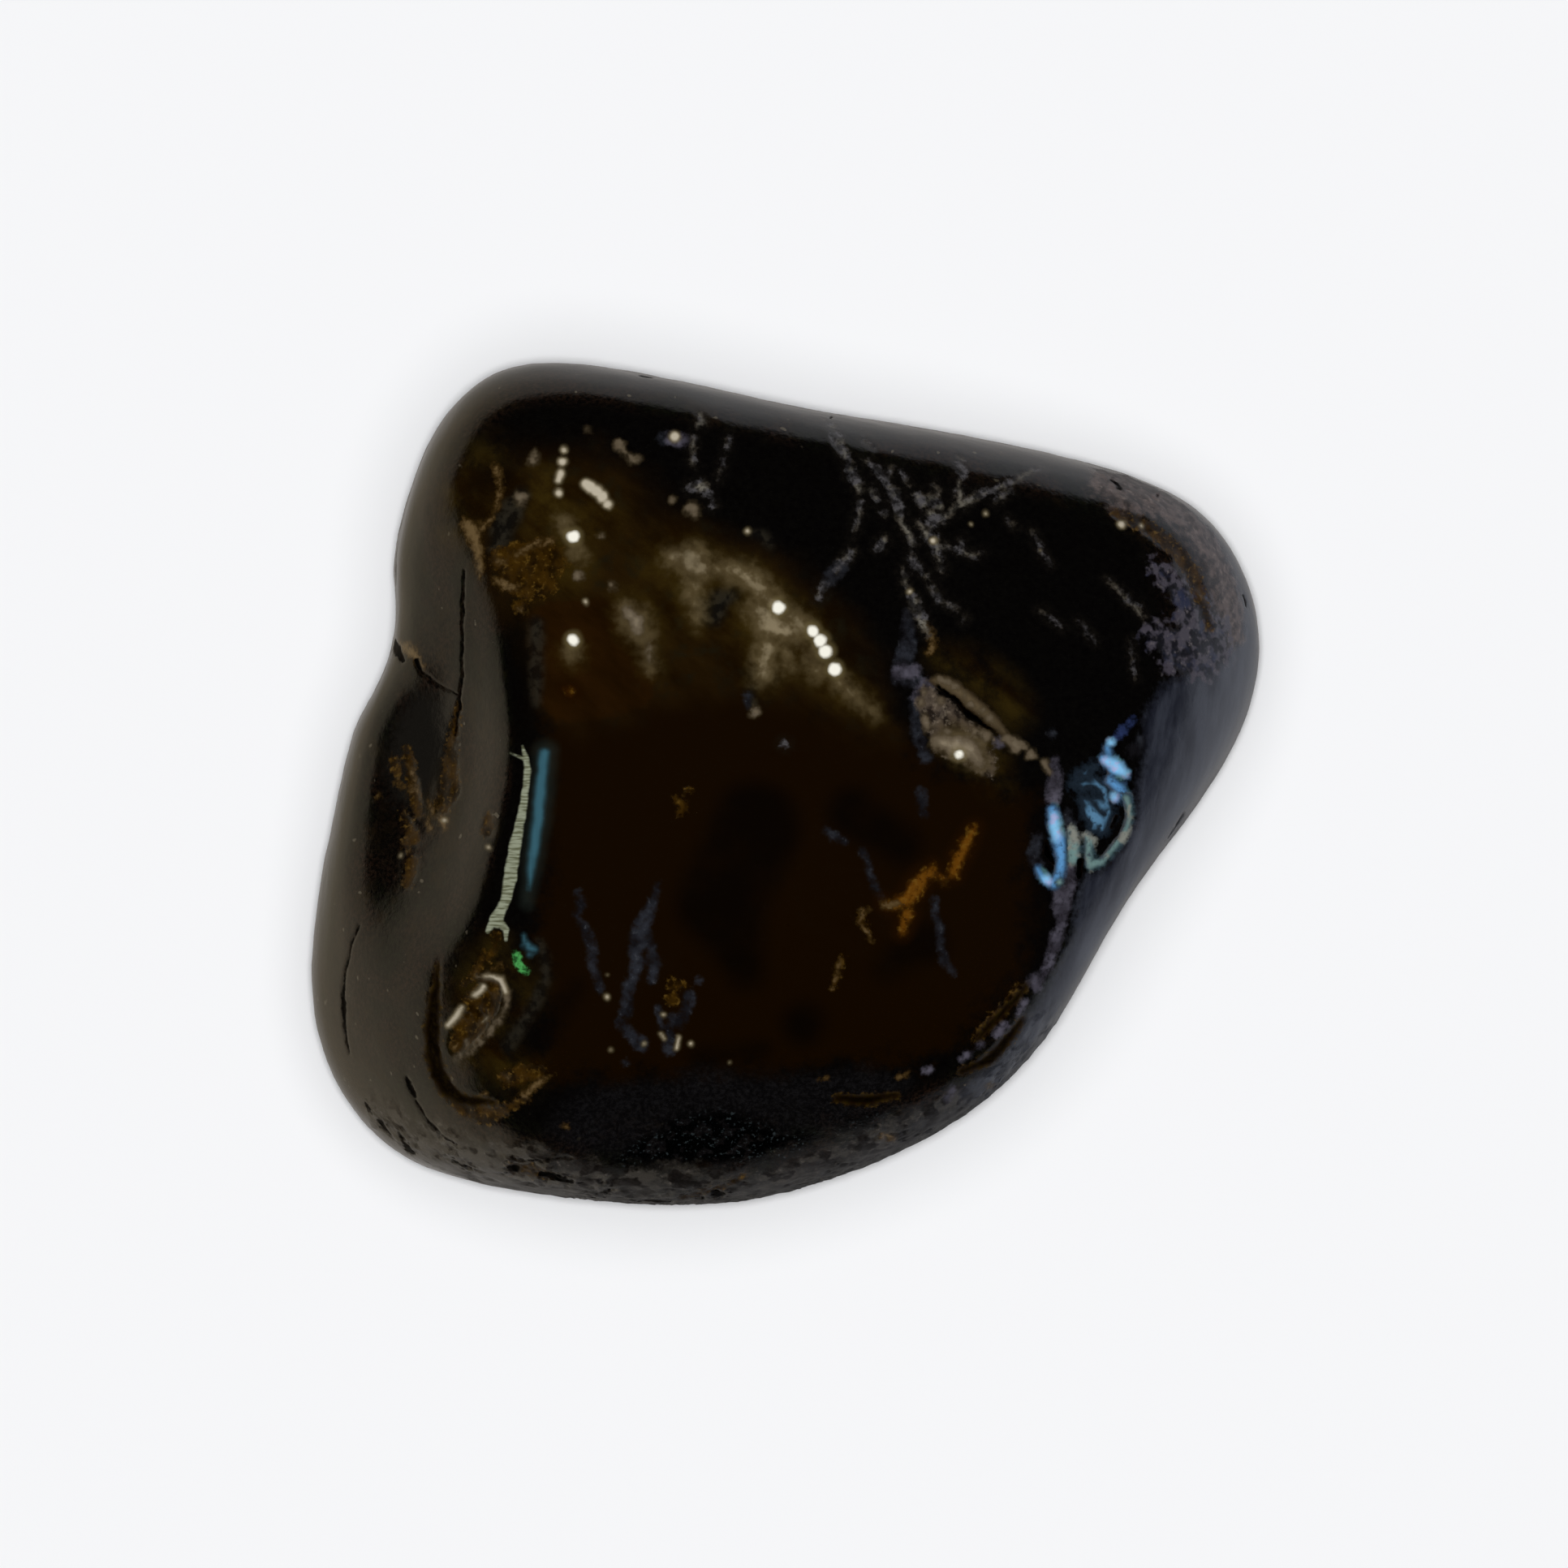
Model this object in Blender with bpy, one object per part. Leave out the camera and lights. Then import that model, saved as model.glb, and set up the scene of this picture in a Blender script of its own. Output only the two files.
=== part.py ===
"""A tumbled garnet: one dark, polished pebble with soft, uneven faces.

A tumbled stone starts as a broken crystal. Tumbling wears each break to a nearly flat
face and each edge to a wide curve, and leaves dents where a chip went deeper. The stone is
modelled in the same way: a ball's points slide out from the core to the worn faces, the
edges between the faces are blended, and a few round dents are pressed in.

Units are metres, +Z is up. The origin is under the middle of the stone, on the surface
that it rests on.
"""
import math

import bmesh
import bpy
import numpy as np

MM = 0.001

STONE_NAME = "garnet"
EDGE_BLEND = 0.85 * MM       # how softly two worn faces run into each other
DENT_BLEND = 0.35 * MM       # how softly a dent's rim runs into the face around it
REST_FLAT_DEPTH = 0.10 * MM  # what the flat worn on the underside takes off the lowest point
BALL_SUBDIVISIONS = 5        # 5120 triangles
REACH = 20 * MM              # a distance from the core that is outside the stone everywhere
HALVINGS = 40                # steps that find the surface along a ray from the core

# Worn faces: heading in degrees about Z from +X, tilt in degrees above level, and the
# distance from the core in millimetres.
SIDE_FACES = {
    "back": (79, 0, 10.4),
    "back_left_corner": (129, 0, 14.5),
    "left": (167, 0, 12.0),
    "left_bulge": (192, 0, 16.8),
    "front_left_corner": (219, 0, 15.6),
    "front": (262, 0, 12.2),
    "front_right": (292, 0, 10.75),
    "right": (-33, 0, 10.0),
    "right_corner": (6, 0, 14.3),
    "right_nose": (26, 0, 15.8),
    "back_right_corner": (46, 0, 14.3),
}
UPPER_FACES = {
    "table": (200, 89, 7.3),
    "back_right_slope": (54, 66, 8.1),
    "back_left_slope": (115, 68, 9.6),
    "left_flank": (180, 36, 11.9),
    "front_left_flank": (208, 36, 12.9),
    "front_bevel": (275, 52, 10.8),
    "right_bevel": (-20, 60, 9.9),
    "right_corner_bevel": (10, 38, 11.9),
}
UNDER_FACES = {
    "base": (0, -90, 7.3),
    "left_keel": (197, -32, 14.0),
    "right_keel": (20, -40, 13.0),
    "front_keel": (270, -40, 12.2),
    "back_keel": (90, -42, 11.6),
}

# Dents: a round-ended bar, from one end to the other, with its radius, all in millimetres
# from the core. Only the part of the bar that reaches into the stone leaves a mark.
DENTS = {
    "left_dish": ((-13.3, 1.3, 8.5), (-14.1, -1.4, 8.3), 5.7),
    "left_saddle": ((-9.5, 4.8, 10.8), (-15.9, 4.8, 3.1), 4.0),
    "left_edge_scoop": ((-18.3, 5.5, 13.0), (-18.3, 0.5, 13.0), 12.0),
    "left_notch": ((-13.9, 4.5, 5.0), (-13.9, 4.5, -5.0), 3.1),
    "back_hollow": ((2.3, 19.7, 4.0), (2.3, 19.7, -4.0), 9.0),
    "front_dish": ((-3.8, -12.3, 8.9), (0.6, -12.4, 8.9), 4.0),
    "right_hollow": ((17.4, -8.4, 2.0), (17.4, -8.4, -4.0), 9.3),
}

STONE_COLOR = (0.012, 0.005, 0.002, 1.0)
STONE_ROUGHNESS = 0.12


def clear_scene():
    for obj in list(bpy.data.objects):
        bpy.data.objects.remove(obj, do_unlink=True)


def face_normal(heading, tilt):
    around = math.radians(heading)
    up = math.radians(tilt)
    level = math.cos(up)
    return np.array([math.cos(around) * level, math.sin(around) * level, math.sin(up)])


def beyond_face(points, face):
    """How far each point is beyond a worn face; negative inside the stone."""
    heading, tilt, distance = face
    return points @ face_normal(heading, tilt) - distance * MM


def inside_dent(points, dent):
    """How far each point is inside a dent's bar; negative away from it."""
    start, end, radius = dent
    start = np.array(start) * MM
    run = np.array(end) * MM - start
    along = np.clip((points - start) @ run / (run @ run), 0.0, 1.0)
    nearest = start + along[:, None] * run
    return radius * MM - np.linalg.norm(points - nearest, axis=1)


def soft_maximum(levels, blend):
    """The largest of several levels, with the switch from one to the next rounded."""
    levels = np.array(levels) / blend
    highest = levels.max(axis=0)
    return blend * (highest + np.log(np.exp(levels - highest).sum(axis=0)))


def stone_level(points):
    """Negative inside the stone, zero on its surface and positive outside."""
    faces = {**SIDE_FACES, **UPPER_FACES, **UNDER_FACES}
    body = soft_maximum([beyond_face(points, face) for face in faces.values()], EDGE_BLEND)
    dents = [inside_dent(points, dent) for dent in DENTS.values()]
    return soft_maximum([body] + dents, DENT_BLEND)


def surface_along(directions):
    """The point where a ray from the core in each direction meets the surface."""
    inside = np.zeros(len(directions))
    outside = np.full(len(directions), REACH)
    for _ in range(HALVINGS):
        middle = (inside + outside) / 2
        is_inside = stone_level(directions * middle[:, None]) < 0
        inside = np.where(is_inside, middle, inside)
        outside = np.where(is_inside, outside, middle)
    return directions * inside[:, None]


def stand_on_ground(points):
    """Wear the resting flat and put the origin under the middle of the stone."""
    low = points.min(axis=0)
    high = points.max(axis=0)
    ground = low[2] + REST_FLAT_DEPTH
    middle = (low + high) / 2
    standing = points - np.array([middle[0], middle[1], ground])
    standing[:, 2] = np.maximum(standing[:, 2], 0.0)
    return standing


def stone_mesh():
    shape = bmesh.new()
    bmesh.ops.create_icosphere(shape, subdivisions=BALL_SUBDIVISIONS, radius=1.0)
    directions = np.array([vert.co.normalized()[:] for vert in shape.verts])
    points = stand_on_ground(surface_along(directions))
    for vert, point in zip(shape.verts, points):
        vert.co = point
    bmesh.ops.recalc_face_normals(shape, faces=shape.faces)
    mesh = bpy.data.meshes.new(STONE_NAME)
    shape.to_mesh(mesh)
    shape.free()
    mesh.shade_smooth()
    return mesh


def garnet_material():
    material = bpy.data.materials.new("polished_garnet")
    material.use_nodes = True
    shader = material.node_tree.nodes["Principled BSDF"]
    shader.inputs["Base Color"].default_value = STONE_COLOR
    shader.inputs["Roughness"].default_value = STONE_ROUGHNESS
    shader.inputs["Metallic"].default_value = 0.0
    return material


def build_stone():
    collection = bpy.data.collections.new("tumbled_garnet")
    bpy.context.scene.collection.children.link(collection)
    stone = bpy.data.objects.new(STONE_NAME, stone_mesh())
    stone.data.materials.append(garnet_material())
    collection.objects.link(stone)


clear_scene()
build_stone()
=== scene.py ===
"""Looks of a tumbled garnet: a near-black polished pebble, with veins, pits and inclusions."""
import math

import bmesh
import bpy
import numpy as np
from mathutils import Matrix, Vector, noise


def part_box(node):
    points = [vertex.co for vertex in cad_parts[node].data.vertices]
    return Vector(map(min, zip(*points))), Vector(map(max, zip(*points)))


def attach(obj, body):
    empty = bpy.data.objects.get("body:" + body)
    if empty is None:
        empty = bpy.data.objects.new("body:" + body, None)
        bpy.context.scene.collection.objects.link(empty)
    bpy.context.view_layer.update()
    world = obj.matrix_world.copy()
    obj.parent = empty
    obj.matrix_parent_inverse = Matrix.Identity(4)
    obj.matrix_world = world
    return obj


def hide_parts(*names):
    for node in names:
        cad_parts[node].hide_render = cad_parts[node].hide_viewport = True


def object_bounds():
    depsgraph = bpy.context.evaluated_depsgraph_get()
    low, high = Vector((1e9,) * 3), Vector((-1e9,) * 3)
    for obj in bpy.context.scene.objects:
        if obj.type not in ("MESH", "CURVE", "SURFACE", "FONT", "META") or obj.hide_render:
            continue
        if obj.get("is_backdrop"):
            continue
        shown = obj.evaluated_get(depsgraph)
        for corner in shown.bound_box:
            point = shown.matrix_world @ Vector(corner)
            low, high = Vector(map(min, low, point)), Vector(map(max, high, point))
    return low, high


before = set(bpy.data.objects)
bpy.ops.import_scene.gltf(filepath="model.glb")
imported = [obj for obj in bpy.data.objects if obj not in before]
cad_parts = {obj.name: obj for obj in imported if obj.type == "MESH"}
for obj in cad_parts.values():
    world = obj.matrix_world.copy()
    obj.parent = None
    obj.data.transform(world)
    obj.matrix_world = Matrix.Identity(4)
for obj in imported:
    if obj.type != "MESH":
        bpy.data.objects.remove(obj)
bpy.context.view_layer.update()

MM = 0.001
STONE = "garnet"
BODY = "root"
GARNET_IOR = 1.76

# ------------------------------------------------------------------ form of the stone
# Lengths are in millimetres from a point deep in the stone, its core.
EDGE_BLEND = 0.85           # how softly two worn faces meet
DENT_BLEND = 0.35           # how softly a dent meets the faces round it
BALL_SUBDIVISIONS = 7
CLOSEST = 5.0               # the surface is sought between these distances from the core
FARTHEST = 20.0
HALVINGS = 24

# Worn faces: heading round the stone, tilt upwards (both in degrees) and distance.
SIDE_FACES = {
    "back": (79, 0, 10.4),
    "back_left_corner": (129, 0, 14.5),
    "left": (167, 0, 12.0),
    "left_bulge": (192, 0, 16.8),
    "front_left_corner": (219, 0, 15.6),
    "front": (262, 0, 12.2),
    "front_right": (292, 0, 10.75),
    "right": (-33, 0, 10.0),
    "right_corner": (6, 0, 14.3),
    "right_nose": (26, 0, 15.8),
    "back_right_corner": (46, 0, 14.3),
}
UPPER_FACES = {
    "table": (200, 89, 7.3),
    "back_right_slope": (54, 66, 8.1),
    "back_left_slope": (115, 68, 9.6),
    "left_flank": (180, 36, 11.9),
    "front_left_flank": (208, 36, 12.9),
    "front_bevel": (275, 52, 10.8),
    "right_bevel": (-20, 60, 9.9),
    "right_corner_bevel": (10, 38, 11.9),
}
UNDER_FACES = {
    "base": (0, -90, 7.3),
    "left_keel": (197, -32, 14.0),
    "right_keel": (20, -40, 13.0),
    "front_keel": (270, -40, 12.2),
    "back_keel": (90, -42, 11.6),
}
# Dents: the two ends of a rounded bar that wore into the stone, and its radius.
DENTS = {
    "left_dish": ((-13.3, 1.3, 8.5), (-14.1, -1.4, 8.3), 5.7),
    "left_saddle": ((-9.5, 4.8, 10.8), (-15.9, 4.8, 3.1), 4.0),
    "left_edge_scoop": ((-18.3, 5.5, 13.0), (-18.3, 0.5, 13.0), 12.0),
    "left_notch": ((-13.9, 4.5, 5.0), (-13.9, 4.5, -5.0), 3.1),
    "back_hollow": ((2.3, 19.7, 4.0), (2.3, 19.7, -4.0), 9.0),
    "front_dish": ((-3.8, -12.3, 8.9), (0.6, -12.4, 8.9), 4.0),
    "right_hollow": ((17.4, -8.4, 2.0), (17.4, -8.4, -4.0), 9.3),
}

# ------------------------------------------------------------------ marks in the stone
# Each mark is one or more strokes seen from above. Each point of a stroke is its place
# right of and behind the core, and the stroke's half width there.
def dots(*spots):
    """Round spots: strokes of one point each."""
    return tuple((spot,) for spot in spots)


# Bright round glints.
GLINTS = {
    "sparks": dots((-5.8, 6.8, 0.18), (-5.8, 3.95, 0.17)),
    "star_chain": dots((0.8, 4.2, 0.17), (1, 3.95, 0.19), (1.15, 3.65, 0.19), (1.4, 3.15, 0.19)),
    "stars": dots((-0.15, 4.85, 0.18), (4.8, 0.8, 0.13)),
}
# Small pale beads, and the painted highlights on the pit's rim.
BEADS_AND_HIGHLIGHTS = {
    "bead_string": dots(
        (-6.05, 9.2, 0.12), (-6.1, 8.85, 0.16), (-6.2, 8, 0.15),
    ) + (
        ((-6.15, 8.55, 0.15), (-6.2, 8.35, 0.13)),
    ),
    "cream_bar": dots(
        (-5.15, 8.05, 0.21), (-5, 7.9, 0.2), (-4.85, 7.7, 0.16), (-4.8, 7.6, 0.09),
    ) + (
        ((-5.45, 8.25, 0.17), (-5.3, 8.15, 0.2)),
    ),
    "small_stars": dots(
        (-1, 6.95, 0.11), (-5.45, 5, 0.1), (9.3, 7.15, 0.15), (9.85, 7.1, 0.09), (5.55, 7.45, 0.08),
        (5.15, 7.15, 0.07), (3.45, 5.3, 0.1), (-3, 9.55, 0.18), (4.1, 6.7, 0.13),
        (7.05, 6.45, 0.04), (-10.55, -1.95, 0.07), (-9.35, -1, 0.1), (-8.1, -1.75, 0.09),
    ),
    "foot_beads": dots(
        (-4.85, -5.85, 0.1), (-3.3, -6.35, 0.08), (-2.55, -7.15, 0.09), (-3.85, -7.15, 0.07),
        (-4.85, -5.25, 0.04), (-4.75, -7.3, 0.06), (-1.5, -7.65, 0.04),
    ) + (
        ((-3.4, -6.85, 0.07), (-3.3, -7, 0.06)), ((-2.9, -6.95, 0.08), (-2.95, -7.25, 0.09)),
    ),
    "pit_lights": (
        ((-8.25, -5.3, 0.07), (-8, -5.3, 0.1), (-7.8, -5.4, 0.12), (-7.65, -5.7, 0.1)),
        ((-8.6, -5.85, 0.09), (-8.35, -5.6, 0.11)),
        ((-9.25, -6.65, 0.1), (-9.05, -6.4, 0.1), (-8.9, -6.15, 0.08)),
        ((-8.25, -6.45, 0.07), (-8.4, -6.6, 0.04)),
    ),
}
# Soft cream clouds inside the honey-brown corner.
CLOUD = {
    "glow": (((-3.05, 6.2, 0.18), (-2.55, 6.15, 0.4), (-2.3, 5.85, 0.31)),),
    "glow_foot": (((-2.5, 5.45, 0.2), (-2.45, 5, 0.11), (-2.35, 4.5, 0.06)),),
    "arch": (((-1.75, 5.9, 0.18), (-1.2, 5.85, 0.22), (-0.7, 5.45, 0.22), (-0.35, 5, 0.22)),),
    "pool": (
        ((-0.8, 4.8, 0.22), (-0.35, 4.45, 0.4), (0.15, 4.15, 0.27)),
        ((0.2, 4.6, 0.18), (0.55, 4.3, 0.16)),
    ),
    "drip": (
        ((-0.45, 3.85, 0.25), (-0.55, 3.4, 0.22), (-0.6, 2.95, 0.18)),
        ((0.05, 3.7, 0.07), (0.1, 3.25, 0.07)), ((0.75, 3.6, 0.13), (0.9, 3.1, 0.11)),
    ),
    "tail": (((1.5, 2.85, 0.11), (2, 2.35, 0.07), (2.45, 1.95, 0.02)),),
    "drop": (
        ((-4.3, 4.8, 0.16), (-4.1, 4.5, 0.31), (-3.95, 4.2, 0.25)),
        ((-3.7, 3.7, 0.07), (-3.65, 3.15, 0.02)),
    ),
    "sparks": dots(
        (-5.65, 6.35, 0.13), (-5.8, 3.6, 0.11),
    ) + (
        ((-6.1, 7.25, 0.07), (-5.95, 7.05, 0.09)),
    ),
    "rock": (((4.7, 1.15, 0.31), (5.15, 1, 0.31), (5.35, 0.65, 0.18)),),
}
# Tan crumbs and edges.
TAN = {
    "y_stem": (
        ((-8.8, 7.2, 0.13), (-8.6, 7, 0.25), (-8.45, 6.55, 0.2), (-8.35, 6.05, 0.13),
         (-8.35, 5.7, 0.09)),
        ((-8.35, 7, 0.11), (-8.05, 7.3, 0.07), (-7.85, 7.75, 0.07), (-7.8, 8.2, 0.09),
         (-7.9, 8.7, 0.13)),
    ),
    "copper_ends": (((2.7, -3.3, 0.09), (2.9, -3.35, 0.11), (3.15, -3.3, 0.09)),),
    "left_dish": dots(
        (-10.35, -1.85, 0.07), (-11.2, -0.35, 0.07),
    ) + (
        ((-10.4, 0.55, 0.07), (-10.25, 0.4, 0.11), (-10.2, 0.1, 0.09), (-10.3, -0.2, 0.07)),
        ((-10.65, 0.05, 0.09), (-10.5, -0.1, 0.07)), ((-10.15, -0.05, 0.09), (-10.05, -0.35, 0.07)),
        ((-9.75, -1.25, 0.09), (-9.8, -1, 0.07)), ((-9.4, -0.95, 0.16), (-9.35, -1.2, 0.09)),
        ((-9.8, -0.45, 0.04), (-9.65, -0.8, 0.07)),
    ),
    "rock_tops": (
        ((-7.85, 6.1, 0.11), (-7.7, 6.15, 0.07)),
        ((-7.95, 5.6, 0.09), (-7.65, 5.45, 0.16), (-7.35, 5.4, 0.09)),
        ((-7.35, 6.3, 0.09), (-7.05, 6.5, 0.07), (-6.8, 6.6, 0.11), (-6.4, 6.7, 0.09)),
        ((-7.3, 4.85, 0.07), (-7.1, 4.7, 0.04)),
    ),
    "notch_chip": (
        ((-10.65, 3.9, 0.07), (-10.4, 3.75, 0.18), (-10.2, 3.6, 0.18), (-10, 3.3, 0.09),
         (-9.9, 3.2, 0.04)),
    ),
    "pit_floor": dots(
        (-8.5, -6.65, 0.09), (-8.8, -7.15, 0.11), (-9.1, -7.25, 0.09),
    ) + (
        ((-8.45, -7.05, 0.09), (-8.25, -6.8, 0.04)), ((-7.75, -5, 0.07), (-8, -5.1, 0.04)),
    ),
    "groove_end": dots(
        (-7.65, -8.1, 0.09), (-6, -9.4, 0.09),
    ) + (
        ((-7.2, -8.6, 0.11), (-6.95, -8.4, 0.13), (-6.55, -8.1, 0.09), (-6.35, -8, 0.04)),
        ((-8.25, -8.55, 0.07), (-8.15, -8.55, 0.04)),
    ),
    "drip": (((3.9, 4.4, 0.09), (4.1, 3.95, 0.13), (4, 3.6, 0.09)),),
    "front_edge": dots(
        (5.65, -8.3, 0.11),
    ) + (
        ((1, -8.1, 0.03), (1.2, -8.05, 0.04)), ((3.15, -8.05, 0.06), (3.45, -8, 0.03)),
        ((2.7, -9.65, 0.09), (3, -9.7, 0.11)),
    ),
    "leaves": dots(
        (2.35, -3.4, 0.04),
    ) + (
        ((2.15, -3.5, 0.07), (2.05, -3.8, 0.04), (2.25, -4.05, 0.07), (2.4, -4.3, 0.04)),
        ((1.55, -4.8, 0.04), (1.45, -5.2, 0.07), (1.3, -5.65, 0.04)),
    ),
}
# Cream chips, the ridge's foot, and the pit's rim, whose pale line is a painted highlight.
CREAM = {
    "drip_end": dots((-0.8, 2, 0.13)),
    "blobs": dots(
        (-7.25, 7.85, 0.18), (-5.65, 5.7, 0.13), (-2.5, 7.55, 0.2), (-5.4, 9.75, 0.09),
        (-5.05, 6.8, 0.07), (-3.05, 7.8, 0.07),
    ) + (
        ((-6.9, 9.1, 0.09), (-6.9, 8.85, 0.13)), ((-4.55, 9.35, 0.13), (-4.45, 9.2, 0.11)),
        ((-4.25, 9.05, 0.07), (-4.1, 8.9, 0.13)), ((-4.75, 5.45, 0.07), (-4.65, 5.35, 0.04)),
        ((-4.25, 4.7, 0.16), (-4.05, 4.45, 0.2), (-3.95, 4.2, 0.13)),
        ((-3.7, 3.75, 0.09), (-3.65, 3.4, 0.04)),
    ),
    "ridge": dots(
        (4.7, 2.65, 0.09), (4.95, 2.4, 0.09), (5.15, 2.2, 0.09), (5.4, 2, 0.09),
    ) + (
        ((4.25, 2.85, 0.09), (4.5, 2.8, 0.09)), ((5.65, 1.8, 0.07), (5.9, 1.55, 0.04)),
    ),
    "rock": dots(
        (3.8, 2.55, 0.07), (3.75, 2.25, 0.07), (4.3, 2.3, 0.07), (4.5, 1.45, 0.09),
    ) + (
        ((3.9, 1.9, 0.09), (3.95, 1.55, 0.11)),
        ((4.1, 1.2, 0.11), (4.6, 1.05, 0.29), (5.05, 1, 0.31), (5.35, 0.65, 0.2)),
        ((5.25, 1.45, 0.09), (5.55, 1.3, 0.11)),
    ),
    "pit_chips": (
        ((-8.85, -7.15, 0.08), (-8.75, -7.2, 0.04)), ((-8.3, -6.5, 0.07), (-8.2, -6.4, 0.04)),
        ((-8.5, -7.1, 0.06), (-8.4, -7, 0.04)), ((-8.9, -7.45, 0.04), (-9, -7.5, 0.04)),
    ),
    "rock_tail": dots(
        (6.8, 0.8, 0.13),
    ) + (
        ((6.15, 1.2, 0.13), (6.35, 1.05, 0.18), (6.55, 1, 0.11)),
        ((7.15, 0.55, 0.09), (7.3, 0.35, 0.09)),
    ),
    "pit_rim": (
        ((-8.45, -5.3, 0.04), (-8.15, -5.3, 0.07), (-7.8, -5.4, 0.09), (-7.65, -5.7, 0.09),
         (-7.65, -6.1, 0.09), (-7.9, -6.55, 0.08), (-8.25, -7, 0.07), (-8.65, -7.35, 0.06),
         (-9, -7.6, 0.04)),
    ),
}
# Pale feathery veils in the back right face.
VEIL = {
    "branch": (
        ((7.2, 8.75, 0.04), (6.65, 8.55, 0.09), (6.15, 8.25, 0.11), (5.8, 8.1, 0.07),
         (5.35, 7.95, 0.11), (5, 7.75, 0.13), (4.6, 7.5, 0.09), (4.35, 7.3, 0.11),
         (4.05, 7.15, 0.13)),
        ((6.25, 8.1, 0.07), (5.85, 7.8, 0.09)),
    ),
    "upright": (
        ((4.75, 9, 0.09), (4.85, 8.85, 0.13), (4.95, 8.55, 0.13)),
        ((4.8, 8.3, 0.09), (4.85, 7.95, 0.11), (4.75, 7.65, 0.07)),
    ),
    "cluster": (
        ((3.65, 7.95, 0.11), (3.85, 7.75, 0.18), (4.1, 7.85, 0.13), (4.25, 7.65, 0.16)),
        ((4.1, 8.25, 0.04), (4.25, 7.95, 0.07)), ((4, 7.45, 0.11), (4.3, 7.3, 0.13)),
    ),
    "strand": dots(
        (5.4, 6.35, 0.07), (4.9, 6.7, 0.09),
    ) + (
        ((3.7, 7.2, 0.07), (3.95, 6.85, 0.13), (4.1, 6.7, 0.18), (4.25, 6.35, 0.09),
         (4.35, 5.9, 0.09)),
        ((4.25, 6.55, 0.07), (4.5, 6.5, 0.07)), ((4.75, 6.45, 0.07), (5.2, 6.3, 0.09)),
    ),
    "trunk": (
        ((2.15, 8.95, 0.04), (2.4, 8.8, 0.07), (2.7, 8.5, 0.11), (2.9, 8.15, 0.09),
         (3.05, 7.95, 0.16), (3.15, 7.6, 0.13), (3.2, 7.25, 0.09), (3.4, 7, 0.13),
         (3.55, 6.6, 0.09)),
        ((3.5, 6.2, 0.11), (3.65, 5.95, 0.09)), ((3.3, 5.85, 0.09), (3.35, 5.45, 0.07)),
        ((3.5, 5.15, 0.13), (3.65, 4.8, 0.16), (3.8, 4.45, 0.16), (3.95, 4.15, 0.09)),
    ),
    "left_trunk": dots(
        (2.75, 7.45, 0.09),
    ) + (
        ((1.3, 9.85, 0.11), (1.5, 9.45, 0.16), (1.7, 9.05, 0.11)),
        ((1.8, 8.8, 0.11), (1.9, 8.45, 0.16), (2.1, 8.1, 0.11)),
        ((2.1, 7.75, 0.09), (2.05, 7.3, 0.07), (1.9, 6.85, 0.04)),
        ((2.75, 6.7, 0.11), (2.6, 6.5, 0.09)), ((2.4, 8.1, 0.09), (2.55, 7.8, 0.07)),
    ),
    "left_mist": (
        ((2.2, 9.45, 0.07), (2.5, 9.2, 0.04)), ((2.95, 8.65, 0.07), (2.85, 8.45, 0.07)),
        ((3.25, 8.6, 0.04), (3.45, 8.2, 0.04)),
    ),
    "sprigs": dots(
        (4.95, 4.55, 0.07),
    ) + (
        ((3.8, 5.85, 0.04), (4.1, 5.45, 0.07), (4.3, 5.05, 0.09)),
        ((4.4, 5, 0.07), (4.75, 4.8, 0.04)),
    ),
    "back_left": dots(
        (-1.95, 7.65, 0.07),
    ) + (
        ((-2.35, 10.2, 0.07), (-2.25, 9.95, 0.13), (-2.4, 9.8, 0.09)),
        ((-2.5, 9.55, 0.07), (-2.5, 8.8, 0.07)),
        ((-2.55, 8.15, 0.13), (-2.3, 8.2, 0.16), (-2.05, 7.95, 0.11)),
        ((-1.5, 9.55, 0.04), (-1.55, 9.3, 0.07)), ((-1.65, 8.95, 0.04), (-1.8, 8.4, 0.04)),
    ),
    "diagonal": dots(
        (1.45, 5.9, 0.09),
    ) + (
        ((1.85, 6.35, 0.11), (1.65, 6.15, 0.11)), ((1.1, 5.45, 0.11), (0.95, 5.1, 0.09)),
    ),
    "scratches": (
        ((6.8, 7, 0.02), (6.95, 6.7, 0.04), (7.1, 6.4, 0.04), (7.35, 6, 0.02)),
        ((8.85, 5.65, 0.03), (9.2, 5.35, 0.06), (9.45, 5.1, 0.09), (9.7, 4.9, 0.09),
         (9.9, 4.55, 0.04)),
        ((7.05, 4.8, 0.02), (7.35, 4.55, 0.04), (7.65, 4.3, 0.02)),
        ((8.1, 4.5, 0.02), (8.35, 4.2, 0.04), (8.55, 3.9, 0.02)),
        ((6.15, 7.3, 0.02), (6.35, 7.1, 0.03)),
    ),
    "faint": dots((0, 1.1, 0.11)) + (((9.55, 3.95, 0.03), (9.65, 2.95, 0.03)),),
}
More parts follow.
